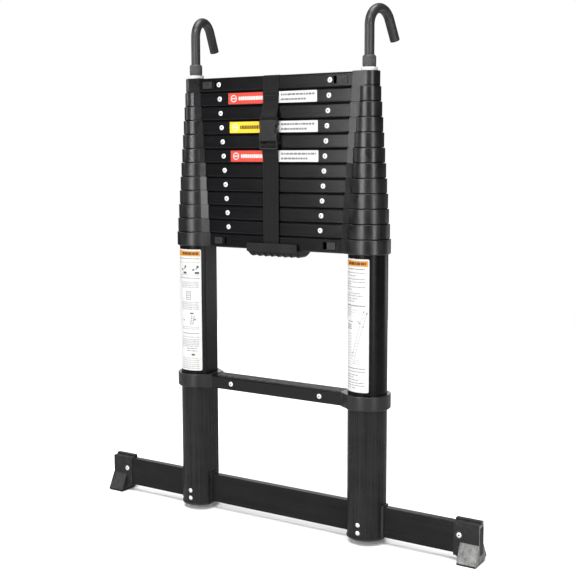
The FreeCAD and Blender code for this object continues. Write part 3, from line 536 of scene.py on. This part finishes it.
class TubeLabel:
    """Film wrapped round an outer tube, drawn in flat (across, up) metres from its middle and foot."""

    def __init__(self, side):
        self.mesh = bmesh.new()
        self.axis_x = STILE_X * dict(SIDES)[side]
        start, end = LABELS[side]
        self.middle = math.radians((start + end) / 2)
        self.half = math.radians(end - start) / 2 * OUTER_R
        self.height = LABEL_TOP - LABEL_BOTTOM

    def point(self, across, up, height):
        angle = self.middle + across / OUTER_R
        radius = OUTER_R + height
        return (self.axis_x + radius * math.sin(angle), AXIS_Y - radius * math.cos(angle), LABEL_BOTTOM + up)

    def strip(self, rails, top, finish):
        """Closed thin solid over pairs of flat points, from just inside the tube up to a height."""
        loops = []
        for first, second in rails:
            loops.append([self.mesh.verts.new(self.point(*first, top)),
                          self.mesh.verts.new(self.point(*second, top)),
                          self.mesh.verts.new(self.point(*second, top - FILM)),
                          self.mesh.verts.new(self.point(*first, top - FILM))])
        bridge(self.mesh, loops, finish)

    def base(self):
        """The film itself, with rounded corners."""
        rails = []
        steps = 44
        for i in range(steps + 1):
            across = -self.half * math.cos(math.pi * i / steps)
            inset = max(0.0, LABEL_CORNER - (self.half - abs(across)))
            cut = LABEL_CORNER - math.sqrt(max(0.0, LABEL_CORNER ** 2 - inset ** 2))
            rails.append(((across, cut), (across, self.height - cut)))
        self.strip(rails, FILM, 0)

    def line(self, start, end, width, finish, level=1):
        """Inked line between two flat points."""
        start, end = Vector(start), Vector(end)
        along = end - start
        side = Vector((-along.y, along.x)).normalized() * width / 2
        count = max(1, math.ceil(abs(along.x) / (2 * MM)))
        rails = []
        for i in range(count + 1):
            centre = start + along * i / count
            rails.append((tuple(centre - side), tuple(centre + side)))
        self.strip(rails, FILM + level * INK, finish)

    def row(self, start, end, up, width, draw, finish=2, level=1):
        """Broken bars that stand for one line of print."""
        x = start
        while x < end - 1.5 * MM:
            stop = min(x + draw.uniform(3, 10) * MM, end)
            self.line((x, up), (stop, up), width, finish, level)
            x = stop + 0.9 * MM

    def rows(self, span, down, pitch, count, draw, width=1.5, finish=2):
        """Lines of print between two places across the label; millimetres, measured from its top."""
        for i in range(count):
            up = self.height - (down + pitch * i) * MM
            self.row(span[0] * MM, span[1] * MM, up, width * MM, draw, finish)

    def rule(self, span, down, width=1.3, finish=2):
        up = self.height - down * MM
        self.line((span[0] * MM, up), (span[1] * MM, up), width * MM, finish)

    def mark(self, across, down, size, finish=3):
        """Small filled patch centred on a place."""
        up = self.height - down * MM
        half = size[0] * MM / 2
        self.line((across * MM - half, up), (across * MM + half, up), size[1] * MM, finish)

    def frame_box(self, low, high, width):
        corners = (low, (high[0], low[1]), high, (low[0], high[1]))
        for i in range(4):
            self.line(corners[i], corners[(i + 1) % 4], width, 2)

    def ladder_icon(self, foot, head, gap, steps, width, finish=3):
        """Plain slanted ladder drawn with bars."""
        foot, head = Vector(foot), Vector(head)
        offset = Vector((gap, 0))
        self.line(foot, head, width, finish)
        self.line(foot + offset, head + offset, width, finish)
        for i in range(1, steps):
            place = foot.lerp(head, i / steps)
            self.line(place, place + offset, width * 0.8, finish)


def label_header(label, title, draw):
    """White film with an orange panel across its head and a dark title on the panel."""
    label.base()
    half = label.half - 2.2 * MM
    up = label.height - 8.5 * MM
    label.line((-half, up), (half, up), 11 * MM, 1)
    label.row(title[0] * MM, title[1] * MM, up, 5.4 * MM, draw, 4, level=2)


def left_print(label, draw):
    """Pictures between short blocks of print; places are across and down, in millimetres."""
    block = (-14, 28)
    label.rule((-26, 30), 19)
    label.rule((-26, 30), 27, finish=5)
    for across in (0, 28):
        label.mark(across - 1.5, 36, (4.5, 5.0))
        label.mark(across - 4.5, 40, (3.0, 3.0), 2)
        label.mark(across - 10.5, 42, (5.0, 4.5), 2)
        label.mark(across - 3.0, 48.5, (9.0, 4.2))
    label.rule((-26, 30), 53, finish=5)
    label.rule((-20, 30), 59.5)
    label.rows(block, 68, 3.6, 4, draw, 2.0, 5)
    label.frame_box((0.5 * MM, label.height - 104 * MM), (11 * MM, label.height - 87 * MM), 1.2 * MM)
    label.rows((2, 10), 91, 4.5, 3, draw)
    label.mark(-8, 103, (2.4, 2.0), 5)
    label.rows(block, 110, 3.6, 5, draw, 2.1, 5)
    label.mark(13, 133, (8, 2.6))
    foot, head = (9 * MM, label.height - 158 * MM), (13 * MM, label.height - 137 * MM)
    label.ladder_icon(foot, head, 6 * MM, 6, 1.1 * MM, 2)
    label.mark(20, 146, (4.0, 3.4), 2)
    label.mark(-8, 148, (3.4, 3.4), 2)
    label.rows(block, 162, 3.8, 2, draw, 2.0, 5)
    label.rule((-12, 28), 175.5, 1.4)
    label.rows(block, 183, 5.0, 1, draw, 2.0, 5)
    label.rows(block, 188, 3.6, 5, draw, 2.3, 5)
    label.rows((0, 24), 207, 5.0, 2, draw, 1.5)
    label.mark(15, 220, (7.5, 4.0), 6)
    label.rows(block, 228, 4.2, 6, draw, 2.0, 5)


def right_print(label, draw):
    """Lines of print above and below a long slanted ladder, with a narrow column at the left."""
    column = (-28, -7)
    indent = -5
    label.rows((-18, 22), 19, 1, 1, draw, 1.7)
    for down, end in ((26, 22), (31.6, 4), (38, 22), (43.5, 23), (48, indent), (53, 23), (58, indent),
                      (65, 14), (69.5, 18), (75, 8), (80, 0), (87.7, 23)):
        label.rows(column, down, 1, 1, draw, 1.3)
        if end > indent:
            label.rows((indent, end), down, 1, 1, draw, 1.3)
    label.rule((-28, 24), 89, 0.8)
    label.rows(column, 93, 3.8, 5, draw, 2.1, 5)
    label.rows((indent, 15), 97, 4.6, 2, draw, 1.2, 5)
    label.rows((-18, -4), 119, 1, 1, draw, 1.6)
    label.rows(column, 125, 3.8, 3, draw, 1.8)
    label.rows(column, 142, 5.4, 12, draw, 1.3, 5)
    foot, head = (-6 * MM, label.height - 190 * MM), (20 * MM, label.height - 98 * MM)
    label.ladder_icon(foot, head, 7 * MM, 15, 1.2 * MM, 5)
    for across, down in ((20, 99), (26, 102), (10, 118), (12, 121), (19, 127), (-3, 178)):
        label.mark(across, down, (3.0, 2.2), 2)
    label.rows((-4, 16), 192, 3.6, 3, draw, 1.2, 5)
    label.rule((-26, 23), 208, 1.5)
    for down, end in ((214, 24), (220.5, 9), (225, -1), (230, 12), (235.5, 22), (240.5, 23), (245.5, 4)):
        label.rows(column, down, 1, 1, draw, 1.4)
        label.rows((indent, end), down, 1, 1, draw, 1.4)


def tube_labels():
    """One label on each outer tube, printed with its own pattern."""
    draw = random.Random(11)
    for side, title, print_on in (("left", (-10, 28), left_print), ("right", (-18, 24), right_print)):
        label = TubeLabel(side)
        label_header(label, title, draw)
        print_on(label, draw)
        finished("tube_label_" + side, label.mesh, "base",
                 [FILM_WHITE, FILM_ORANGE, FILM_GREY, FILM_DARK_AND_HOLE_SHADE, FILM_BROWN, FILM_PALE, FILM_GREEN],
                 smooth_angle=20)


# ---- webbing ----
STRAP_HALF = 18 * MM
PLY = 1.15 * MM
STEP = 2.0 * MM
STITCH_INSET = 2.5 * MM
STITCH_PITCH = 2.4 * MM
THREAD_R = 0.32 * MM


def strap_point(y, z):
    """Place in the strap's side view: millimetres behind the tube plane and above rung 12's foot."""
    return Vector((AXIS_Y + y * MM, GRIP_SEAT + z * MM))


def eased_path(corners, radius):
    """Follows straight runs joined by smooth bends, sampled every STEP."""
    points = [corners[0]]
    for before, corner, after in zip(corners, corners[1:], corners[2:]):
        entry = corner + (before - corner).normalized() * min(radius, (before - corner).length * 0.48)
        leave = corner + (after - corner).normalized() * min(radius, (after - corner).length * 0.48)
        for i in range(7):
            t = i / 6
            points.append(entry * (1 - t) ** 2 + corner * 2 * t * (1 - t) + leave * t ** 2)
    points.append(corners[-1])
    path = [points[0]]
    for point in points[1:]:
        run = point - path[-1]
        pieces = max(1, round(run.length / STEP))
        if run.length > 1e-6:
            path.extend([path[-1] + run * i / pieces for i in range(1, pieces + 1)])
    return path


def webbing(mesh, path):
    """Adds flat webbing across X that follows a side-view path, with its UVs in metres."""
    across = [(-1.0, 0.45), (-0.97, 0.85), (-0.9, 1.0), (-0.5, 1.0), (0.0, 1.0),
              (0.5, 1.0), (0.9, 1.0), (0.97, 0.85), (1.0, 0.45)]
    uv = mesh.loops.layers.uv.verify()
    rings = []
    places = {}
    run = 0.0
    for i, point in enumerate(path):
        tangent = (path[min(i + 1, len(path) - 1)] - path[max(i - 1, 0)]).normalized()
        normal = Vector((-tangent.y, tangent.x))
        if i:
            run += (point - path[i - 1]).length
        ring = []
        outline = [(x, t) for x, t in across] + [(x, -t) for x, t in reversed(across)]
        for x, t in outline:
            side = point + normal * (t * PLY / 2)
            vertex = mesh.verts.new((STRAP_X + x * STRAP_HALF, side.x, side.y))
            places[vertex] = (x * STRAP_HALF + (STRAP_HALF * 2.2 if t < 0 else 0), run)
            ring.append(vertex)
        rings.append(ring)
    for face in bridge(mesh, rings):
        for loop in face.loops:
            loop[uv].uv = places[loop.vert]


def stitch_row(mesh, y, z):
    """Row of short raised threads across the strap at one place of its side view."""
    place = strap_point(y, z)
    start = Vector((STRAP_X - STRAP_HALF + STITCH_INSET, place.x, place.y))
    run = Vector((2 * (STRAP_HALF - STITCH_INSET), 0, 0))
    turn = run.normalized().to_track_quat("Z", "Y").to_matrix()
    count = round(run.length / STITCH_PITCH)
    for i in range(count):
        near = start + run * (i + 0.12) / count
        far = start + run * (i + 0.88) / count
        rings = []
        for t, size in ((0, 0.35), (0.25, 0.9), (0.5, 1.0), (0.75, 0.9), (1, 0.35)):
            centre = near.lerp(far, t)
            spokes = [Vector((math.cos(math.tau * k / 6), math.sin(math.tau * k / 6), 0)) for k in range(6)]
            rings.append([mesh.verts.new(centre + turn @ spoke * THREAD_R * size) for spoke in spokes])
        bridge(mesh, rings, 1)


RUNG_1_FOOT = (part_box("rung_01")[0].z - GRIP_SEAT) / MM      # above rung 12's foot, in millimetres
BUCKLE_BAR = (-29.3, 257.2)     # the socket's strap bar in the side view
PLUG_BAR = (-29.3, 205.0)


def strap_pieces():
    """Upper strap sewn round rung 1 and lower strap from the grip to the buckle."""
    materials = [finishes["webbing"], THREAD]
    foot, head = RUNG_1_FOOT, RUNG_1_FOOT + RUNG_HEIGHT / MM
    bar_y, bar_z = BUCKLE_BAR
    corners = [(-21.75, foot - 14), (-21.75, foot - 0.95), (21.9, foot - 0.95), (22.2, head - 1.0),
               (20.0, head + 3.0), (6.0, head + 1.0), (-22.0, head + 0.9), (-22.0, foot + 4),
               (-22.9, foot - 2), (-22.9, foot - 16),
               (-22.3, foot - 22), (-27.0, bar_z + 14), (bar_y - 2.5, bar_z + 4), (bar_y - 2.5, bar_z - 2.4),
               (bar_y + 2.5, bar_z - 2.4), (bar_y + 2.4, bar_z + 5), (-24.6, bar_z + 17), (-23.6, bar_z + 26)]
    mesh = bmesh.new()
    webbing(mesh, eased_path([strap_point(*corner) for corner in corners], 2.6 * MM))
    for drop in (4, 12):
        stitch_row(mesh, -23.55, foot - drop)
    for lift in (5.0, 8.0, 16.0):
        stitch_row(mesh, -32.35 + 0.48 * (lift - 4), bar_z + lift)
    upper = finished("strap_upper_webbing", mesh, "section_01", materials, smooth_angle=50)
    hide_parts("strap_upper")

    plug_y, plug_z = PLUG_BAR
    corners = [(-24.0, 1.0), (-24.0, 176), (-26.5, 192), (-26.7, plug_z), (-26.9, plug_z + 2.6),
               (plug_y - 2.5, plug_z + 2.6), (plug_y - 2.5, plug_z - 2.4), (-28.0, plug_z - 2.9),
               (-27.9, plug_z - 8), (-25.3, plug_z - 17), (-25.25, plug_z - 21)]
    mesh = bmesh.new()
    webbing(mesh, eased_path([strap_point(*corner) for corner in corners], 2.4 * MM))
    for drop in (19.4, 17.6):
        stitch_row(mesh, -25.9, plug_z - drop)
    lower = finished("strap_lower_webbing", mesh, None, materials, smooth_angle=50)
    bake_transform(lower)
    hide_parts("strap_lower", "strap_anchor")


# ---- buckle ----
BUCKLE_HALF = 20.4 * MM
WINDOW = (227.5, 243.0)
SOCKET = (215.4, 254.0)
PLUG = (197.0, 214.8)


def buckle_point(x, y, z):
    place = strap_point(y, z)
    return Vector((STRAP_X + x * MM, place.x, place.y))


def buckle_block(mesh, x, y, z):
    """Box between pairs of limits in strap millimetres."""
    block(mesh, buckle_point(x[0], y[0], z[0]), buckle_point(x[1], y[1], z[1]))


def rod_across(mesh, radius, half, y, z):
    profile = [(0, 0), (radius * MM, 0), (radius * MM, 2 * half * MM), (0, 2 * half * MM)]
    lathe(mesh, profile, buckle_point(-half, y, z), (1, 0, 0), 20)


def socket_plate(mesh, y0, y1, edge):
    """One face of the socket, with notches for the release buttons at both sides."""
    half = BUCKLE_HALF / MM - edge
    foot, top = SOCKET[0] + edge, SOCKET[1] - edge
    low, high = WINDOW[0] - edge, WINDOW[1] + edge
    notch = half - 4.6
    side = [(half - 1.2, foot), (half, foot + 1.2), (half, low - 1.0), (half - 1.0, low),
            (notch + 1.6, low), (notch, low + 2.2), (notch, high - 2.2), (notch + 1.6, high),
            (half - 1.0, high), (half - 0.4, high + 1.0), (half - 1.0, top - 3.0), (half - 3.6, top)]
    outline = side + [(-x, z) for x, z in reversed(side)]
    points = [buckle_point(x, y0, z) for x, z in outline]
    extrude(mesh, points, (0, (y1 - y0) * MM, 0))


def buckle_pieces():
    """Side-release buckle: socket on the upper strap, pronged plug on the lower one."""
    material = [finishes["buckle_plastic"]]
    half = BUCKLE_HALF / MM
    mesh = bmesh.new()
    socket_plate(mesh, -35.0, -32.6, 0.0)
    socket_plate(mesh, -26.1, -23.7, 0.0)
    socket_plate(mesh, -35.5, -34.8, 3.2)
    for side in (-1, 1):
        wall = sorted((side * (half - 0.3), side * (half - 2.6)))
        buckle_block(mesh, wall, (-33.0, -25.7), (SOCKET[0] + 0.3, WINDOW[0] - 0.6))
        buckle_block(mesh, wall, (-33.0, -25.7), (WINDOW[1] + 0.6, SOCKET[1] - 2.5))
        rail = sorted((side * (half - 0.6), side * (half - 2.0)))
        buckle_block(mesh, rail, (-31.4, -27.2), (SOCKET[1] - 5, BUCKLE_BAR[1] + 1.7))
    buckle_block(mesh, (-half + 2.4, half - 2.4), (-33.0, -25.7), (SOCKET[1] - 5.5, SOCKET[1] - 1.4))
    rod_across(mesh, 1.6, half - 0.8, *BUCKLE_BAR)
    socket = finished("buckle_socket_shell", mesh, "section_01", material, 0.55 * MM)
    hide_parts("buckle_socket")

    mesh = bmesh.new()
    for side in (-1, 1):
        buckle_block(mesh, sorted((side * half, side * (half - 2.3))), (-32.6, -26.2), PLUG)
        arm = sorted((side * 10.2, side * 14.6))
        buckle_block(mesh, arm, (-31.6, -27.1), (PLUG[1] - 1, WINDOW[1] - 4))
        outer = side * (half - 0.2)
        foot, top = WINDOW
        button = [(side * 11.0, foot + 0.8), (outer - side * 0.8, foot + 0.6), (outer, foot + 3.0),
                  (outer, top - 6.0), (side * 13.0, top - 0.8), (side * 10.2, top + 1.5)]
        extrude(mesh, [buckle_point(x, -32.2, z) for x, z in button], (0, 5.6 * MM, 0))
        for i in range(4):
            z = foot + 3.4 + 1.7 * i
            ridge = sorted((outer - side * 1.0, outer + side * 0.35))
            buckle_block(mesh, ridge, (-31.8, -27.0), (z, z + 0.8))
    buckle_block(mesh, (-half + 0.4, half - 0.4), (-31.4, -28.7), (PLUG[0], PLUG[0] + 3.2))
    buckle_block(mesh, (-half + 0.4, half - 0.4), (-32.2, -26.6), (PLUG[1] - 2.0, PLUG[1] + 1.2))
    buckle_block(mesh, (-2.6, 2.6), (-31.4, -27.3), (PLUG[1], PLUG[1] + 22))
    rod_across(mesh, 1.7, half - 0.6, *PLUG_BAR)
    plug = finished("buckle_plug_frame", mesh, "strap_lower", material, 0.5 * MM)
    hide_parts("buckle_plug")


# ---- carry grip ----
GRIP_ROUND = 11 * MM
GRIP_FINGERS = 7
GRIP_FINGER_R = 9.6 * MM
GRIP_FINGER_DEPTH = 3.4 * MM
GRIP_END = 8 * MM
GRIP_HALF_DEPTH = 23.4 * MM


def groove_depth(x, half):
    """How deep the finger grooves are at one place along the grip."""
    pitch = 2 * (half - GRIP_END) / GRIP_FINGERS
    finger = (x + half - GRIP_END) / pitch
    if finger < 0 or finger > GRIP_FINGERS:
        return 0.0
    away = (finger % 1 - 0.5) * pitch
    return max(0.0, GRIP_FINGER_DEPTH - GRIP_FINGER_R + math.sqrt(GRIP_FINGER_R ** 2 - away ** 2))


def grip_section(x, half, depth, drop):
    """Front-to-back outline of the grip at x: rounded underside, grooves round its front edge."""
    end = max(0.0, GRIP_ROUND - half + abs(x))
    lift = GRIP_ROUND - math.sqrt(GRIP_ROUND ** 2 - end ** 2)
    radius = min(GRIP_ROUND, drop - lift)
    groove = groove_depth(x, half)
    base = GRIP_SEAT - drop + lift
    points = [(x, AXIS_Y - depth, GRIP_SEAT)]
    for i in range(13):
        angle = math.radians(90 * i / 12)
        reach = radius + (1 - math.exp(-4 * i / 12)) * -groove
        y = AXIS_Y - depth + radius - reach * math.cos(angle)
        points.append((x, y, base + radius - reach * math.sin(angle)))
    for share in (0.25, 0.5, 0.75):
        inset = groove * (1 - 0.5 * share)
        points.append((x, AXIS_Y + (2 * share - 1) * (depth - radius), base + inset))
    for i in range(9):
        angle = math.radians(90 * i / 8)
        reach = radius - 0.5 * groove * (1 - i / 8)
        y = AXIS_Y + depth - radius + reach * math.sin(angle)
        points.append((x, y, base + radius - reach * math.cos(angle)))
    points.append((x, AXIS_Y + depth, GRIP_SEAT))
    return points


def carry_grip():
    """Finger grip with its front plate and back lip."""
    low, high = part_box("carry_grip")
    half = high.x
    depth = GRIP_HALF_DEPTH
    mesh = bmesh.new()
    steps = 140
    rings = []
    for i in range(steps + 1):
        x = half * (2 * i / steps - 1)
        rings.append([mesh.verts.new(point) for point in grip_section(x, half, depth, GRIP_SEAT - low.z)])
    bridge(mesh, rings)
    plate_half = half - 2 * MM
    plate = rounded_outline((-plate_half, GRIP_SEAT - 5 * MM), (plate_half, high.z), 3 * MM, low.y)
    extrude(mesh, plate, (0, 2.2 * MM, 0))
    block(mesh, (-plate_half + 2 * MM, low.y + 0.5 * MM, GRIP_SEAT - 4.8 * MM),
          (plate_half - 2 * MM, AXIS_Y - depth + 1 * MM, GRIP_SEAT - 1 * MM))
    block(mesh, (-half, AXIS_Y + 21.2 * MM, GRIP_SEAT - 2 * MM), (half, AXIS_Y + depth, GRIP_SEAT + 7 * MM))
    grip = finished("carry_grip_moulding", mesh, "base", [finishes["grip_plastic"]], 0.6 * MM,
                    smooth_angle=28)
    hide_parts("carry_grip")


# ---- end feet ----
TOE_REACH = 28 * MM
SOLE_FLAT_END = 12 * MM
SOLE_RISE = 7 * MM
TREAD_STEP = 5.2 * MM
TREAD_GAP = 2.6 * MM
TREAD_DEEP = 3.4 * MM
FOOT_RIVET = (397 * MM, 51.5 * MM)
FOOT_RING = ((5.2, -1.4), (8.0, -1.4), (8.0, 0.3), (7.4, 0.7), (5.9, 0.7), (5.2, 0.2))
CAP_HALF = 10.8 * MM
CAP_FRONT = 10.0 * MM
CAP_LENGTH = 52.4 * MM
TOE_LENGTH = 38.4 * MM


def sole_height(y):
    over = max(0.0, y - SOLE_FLAT_END)
    return SOLE_RISE * (over / (TOE_REACH - SOLE_FLAT_END)) ** 1.4


def toe_outline(x, half):
    """Side view of the toe: splayed faces down to a serrated sole that rises at the back."""
    profile = [(-half, 38 * MM), (-TOE_REACH, 4.5 * MM), (-TOE_REACH + 0.4 * MM, 2.4 * MM)]
    y = -TOE_REACH + 1.4 * MM
    while y < TOE_REACH - TREAD_STEP:
        tooth = y + TREAD_STEP - TREAD_GAP
        profile += [(y, sole_height(y)), (tooth, sole_height(tooth)),
                    (tooth + 0.5 * MM, sole_height(tooth) + TREAD_DEEP),
                    (y + TREAD_STEP - 0.5 * MM, sole_height(y + TREAD_STEP) + TREAD_DEEP)]
        y += TREAD_STEP
    profile += [(y, sole_height(y)), (TOE_REACH - 0.4 * MM, SOLE_RISE), (TOE_REACH, SOLE_RISE + 3 * MM),
                (half, 38 * MM)]
    return [(x, AXIS_Y + y, z) for y, z in profile]


def end_feet():
    """Moulded cap over each end of the bar, with a rubber toe and a ring round its rivet."""
    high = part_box("stabiliser_feet")[1]
    bar_low, bar_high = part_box("stabiliser_bar")
    end = high.x
    half, front = CAP_HALF, CAP_FRONT
    start, heel = end - CAP_LENGTH, end - TOE_LENGTH
    cap_foot = bar_low.z - 3.5 * MM
    for side, sign in SIDES:
        mesh = bmesh.new()
        x0, x1 = sorted((sign * start, sign * (end - 1.0 * MM)))
        block(mesh, (x0, AXIS_Y - front, cap_foot), (x1, AXIS_Y + half, bar_high.z + 1.6 * MM), 0)
        block(mesh, (x0, AXIS_Y + 1.5 * MM, bar_high.z - 2 * MM), (x1, AXIS_Y + half - 0.3 * MM, high.z), 0)
        brace = [(sign * (heel + 1 * MM), cap_foot + 1 * MM), (sign * (start + 4 * MM), cap_foot + 1 * MM),
                 (sign * (heel + 1 * MM), 3 * MM)]
        extrude(mesh, [(x, AXIS_Y - front, z) for x, z in brace], (0, front + half, 0), 0)
        toe = extrude(mesh, toe_outline(sign * heel, half), (sign * (end - 0.8 * MM - heel), 0, 0), 0)
        # The splayed toe faces take the toe grey, far paler on the right foot than on the left.
        for face in toe:
            face.normal_update()
            if abs(face.normal.y) > 0.8 and face.calc_area() > 4e-4:
                face.material_index = 1
        for face in mesh.faces:
            face.normal_update()
            if abs(face.normal.x) > 0.9 and abs(face.calc_center_median().x) > end - 3 * MM:
                face.material_index = 3
        for i in range(4):
            y = AXIS_Y + (i - 1.5) * 4.8 * MM + 0.8 * MM
            rib = sorted((sign * (end - 1.6 * MM), sign * end))
            block(mesh, (rib[0], y - 1.4 * MM, 17 * MM), (rib[1], y + 1.4 * MM, 70 * MM), 2)
        foot = finished("end_foot_" + side, mesh, "base",
                        [finishes["foot_rubber"], TOE_GREYS[side], finishes["cap_plastic"], DUSTY_END], 0.8 * MM)
        if side == "left":
            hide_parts("stabiliser_feet")
        heads, ring = bmesh.new(), bmesh.new()
        profile = [(radius * MM, height * MM) for radius, height in FOOT_RING + FOOT_RING[:1]]
        for facing in (-1, 1):
            place = (sign * FOOT_RIVET[0], AXIS_Y + facing * half, FOOT_RIVET[1])
            rivet_head(heads, *place, facing)
            lathe(ring, profile, place, (0, facing, 0))
        bmesh.ops.remove_doubles(ring, verts=ring.verts, dist=1e-7)
        finished("foot_rivets_" + side, heads, "base", RIVET_FINISHES, smooth_angle=60)
        finished("foot_ring_" + side, ring, "base", [finishes["cap_plastic"]], smooth_angle=50)


# ---- hook sleeves ----
SLEEVE_RIBS = 30
SLEEVE_BORE = 9.35 * MM
SLEEVE_PROFILE = (      # share of the height, share of the radius, 1 where the ribs are
    (0.0, 0.93, 0), (0.02, 0.98, 0), (0.12, 0.99, 0), (0.14, 0.95, 0), (0.17, 0.97, 1),
    (0.5, 0.97, 1), (0.84, 0.97, 1), (0.88, 0.96, 0), (0.94, 0.92, 0), (1.0, 0.80, 0))


def hook_sleeves():
    """Ribbed grip sleeves with a chamfered head and a plain foot ring."""
    steps = SLEEVE_RIBS * 6
    for side, _ in SIDES:
        low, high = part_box("hook_sleeve_" + side)
        radius = (high.x - low.x) / 2
        centre = (low + high) / 2
        mesh = bmesh.new()
        rings = []
        walls = [(share, radius * size, 0.35 * MM * ribbed) for share, size, ribbed in SLEEVE_PROFILE]
        for share, reach, rib in walls + [(1.0, SLEEVE_BORE, 0.0), (0.0, SLEEVE_BORE, 0.0)]:
            ring = []
            for i in range(steps):
                angle = math.tau * i / steps
                r = reach + rib * math.cos(SLEEVE_RIBS * angle)
                ring.append(mesh.verts.new((centre.x + r * math.cos(angle), centre.y + r * math.sin(angle),
                                            low.z + share * (high.z - low.z))))
            rings.append(ring)
        bridge(mesh, rings, closed=True)
        sleeve = finished("sleeve_ribbed_" + side, mesh, "hook_" + side,
                          [finishes["sleeve_plastic"]], smooth_angle=50)
        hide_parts("hook_sleeve_" + side)


# ---- camera, light and floor ----

def look(location, heading, pitch, roll):
    """Camera or light pose: heading turns left from +Y, pitch looks down."""
    turn = Matrix.Rotation(math.radians(heading), 4, "Z") @ Matrix.Rotation(math.radians(90 - pitch), 4, "X")
    return Matrix.Translation(location) @ turn @ Matrix.Rotation(math.radians(roll), 4, "Z")


def add_camera():
    data = bpy.data.cameras.new("camera")
    data.sensor_width = 36.0
    data.lens = 65.0
    data.shift_y = -0.027
    data.clip_end = 60.0
    camera = bpy.data.objects.new("camera", data)
    scene.collection.objects.link(camera)
    camera.matrix_world = look((1.1041, -1.7698, 0.7513), 31.793, 6.540, -0.159)
    scene.camera = camera


def add_softbox(name, location, target, size, power):
    data = bpy.data.lights.new(name, "AREA")
    data.shape = "RECTANGLE"
    data.size, data.size_y = size
    data.energy = power
    light = bpy.data.objects.new(name, data)
    scene.collection.objects.link(light)
    light.location = location
    light.rotation_euler = (Vector(target) - Vector(location)).to_track_quat("-Z", "Y").to_euler()


FLOOR_RADIUS = 2.6
SOFTBOXES = {       # azimuth, distance and height from the object's middle, size, power
    "softbox_left": (-3, 2.4, 0.3, (0.5, 2.0), 26),
    "softbox_right": (62, 2.4, 0.3, (0.45, 2.0), 22),
    "softbox_top": (12, 1.6, 2.0, (1.6, 0.6), 34),
    "strip_front": (-18, 2.4, 0.36, (0.18, 0.55), 9),
    "strip_side": (-74, 2.2, 0.85, (0.3, 0.9), 9),
    "softbox_back": (150, 2.5, -0.3, (1.2, 0.36), 3),
    "softbox_rear": (-148, 2.5, 0.6, (1.5, 0.9), 8),
}


def add_studio():
    """Soft lights round the object, a wide soft sun, a dim world and a pale floor."""
    centre = Vector((0, AXIS_Y, 0.5))
    for name, (azimuth, distance, height, size, power) in SOFTBOXES.items():
        angle = math.radians(azimuth)
        place = centre + Vector((distance * math.sin(angle), -distance * math.cos(angle), height))
        add_softbox(name, place, centre, size, power)
    overhead = bpy.data.lights.new("overhead", "SUN")
    overhead.energy = 3.8
    overhead.angle = math.radians(50)
    light = bpy.data.objects.new("overhead", overhead)
    scene.collection.objects.link(light)
    world = bpy.data.worlds.new("studio")
    scene.world = world
    world.use_nodes = True
    tree = world.node_tree
    background = tree.nodes["Background"]
    path = tree.nodes.new("ShaderNodeLightPath")
    level = tree.nodes.new("ShaderNodeMapRange")
    level.inputs["To Min"].default_value = 0.07
    level.inputs["To Max"].default_value = 1.0
    tree.links.new(path.outputs["Is Camera Ray"], level.inputs["Value"])
    tree.links.new(level.outputs["Result"], background.inputs["Strength"])
    background.inputs["Color"].default_value = (1, 1, 1, 1)
    mesh = bmesh.new()
    bmesh.ops.create_circle(mesh, cap_ends=True, segments=64, radius=FLOOR_RADIUS)
    floor = finished("floor", mesh, None, [pale_floor()])
    floor.location.z = cad_box[0][2]
    scene.view_settings.view_transform = "Standard"


finish_cad_nodes()
rung_rivets()
rung_treads()
rung_stickers()
tube_labels()
strap_pieces()
buckle_pieces()
carry_grip()
end_feet()
hook_sleeves()
add_camera()
add_studio()
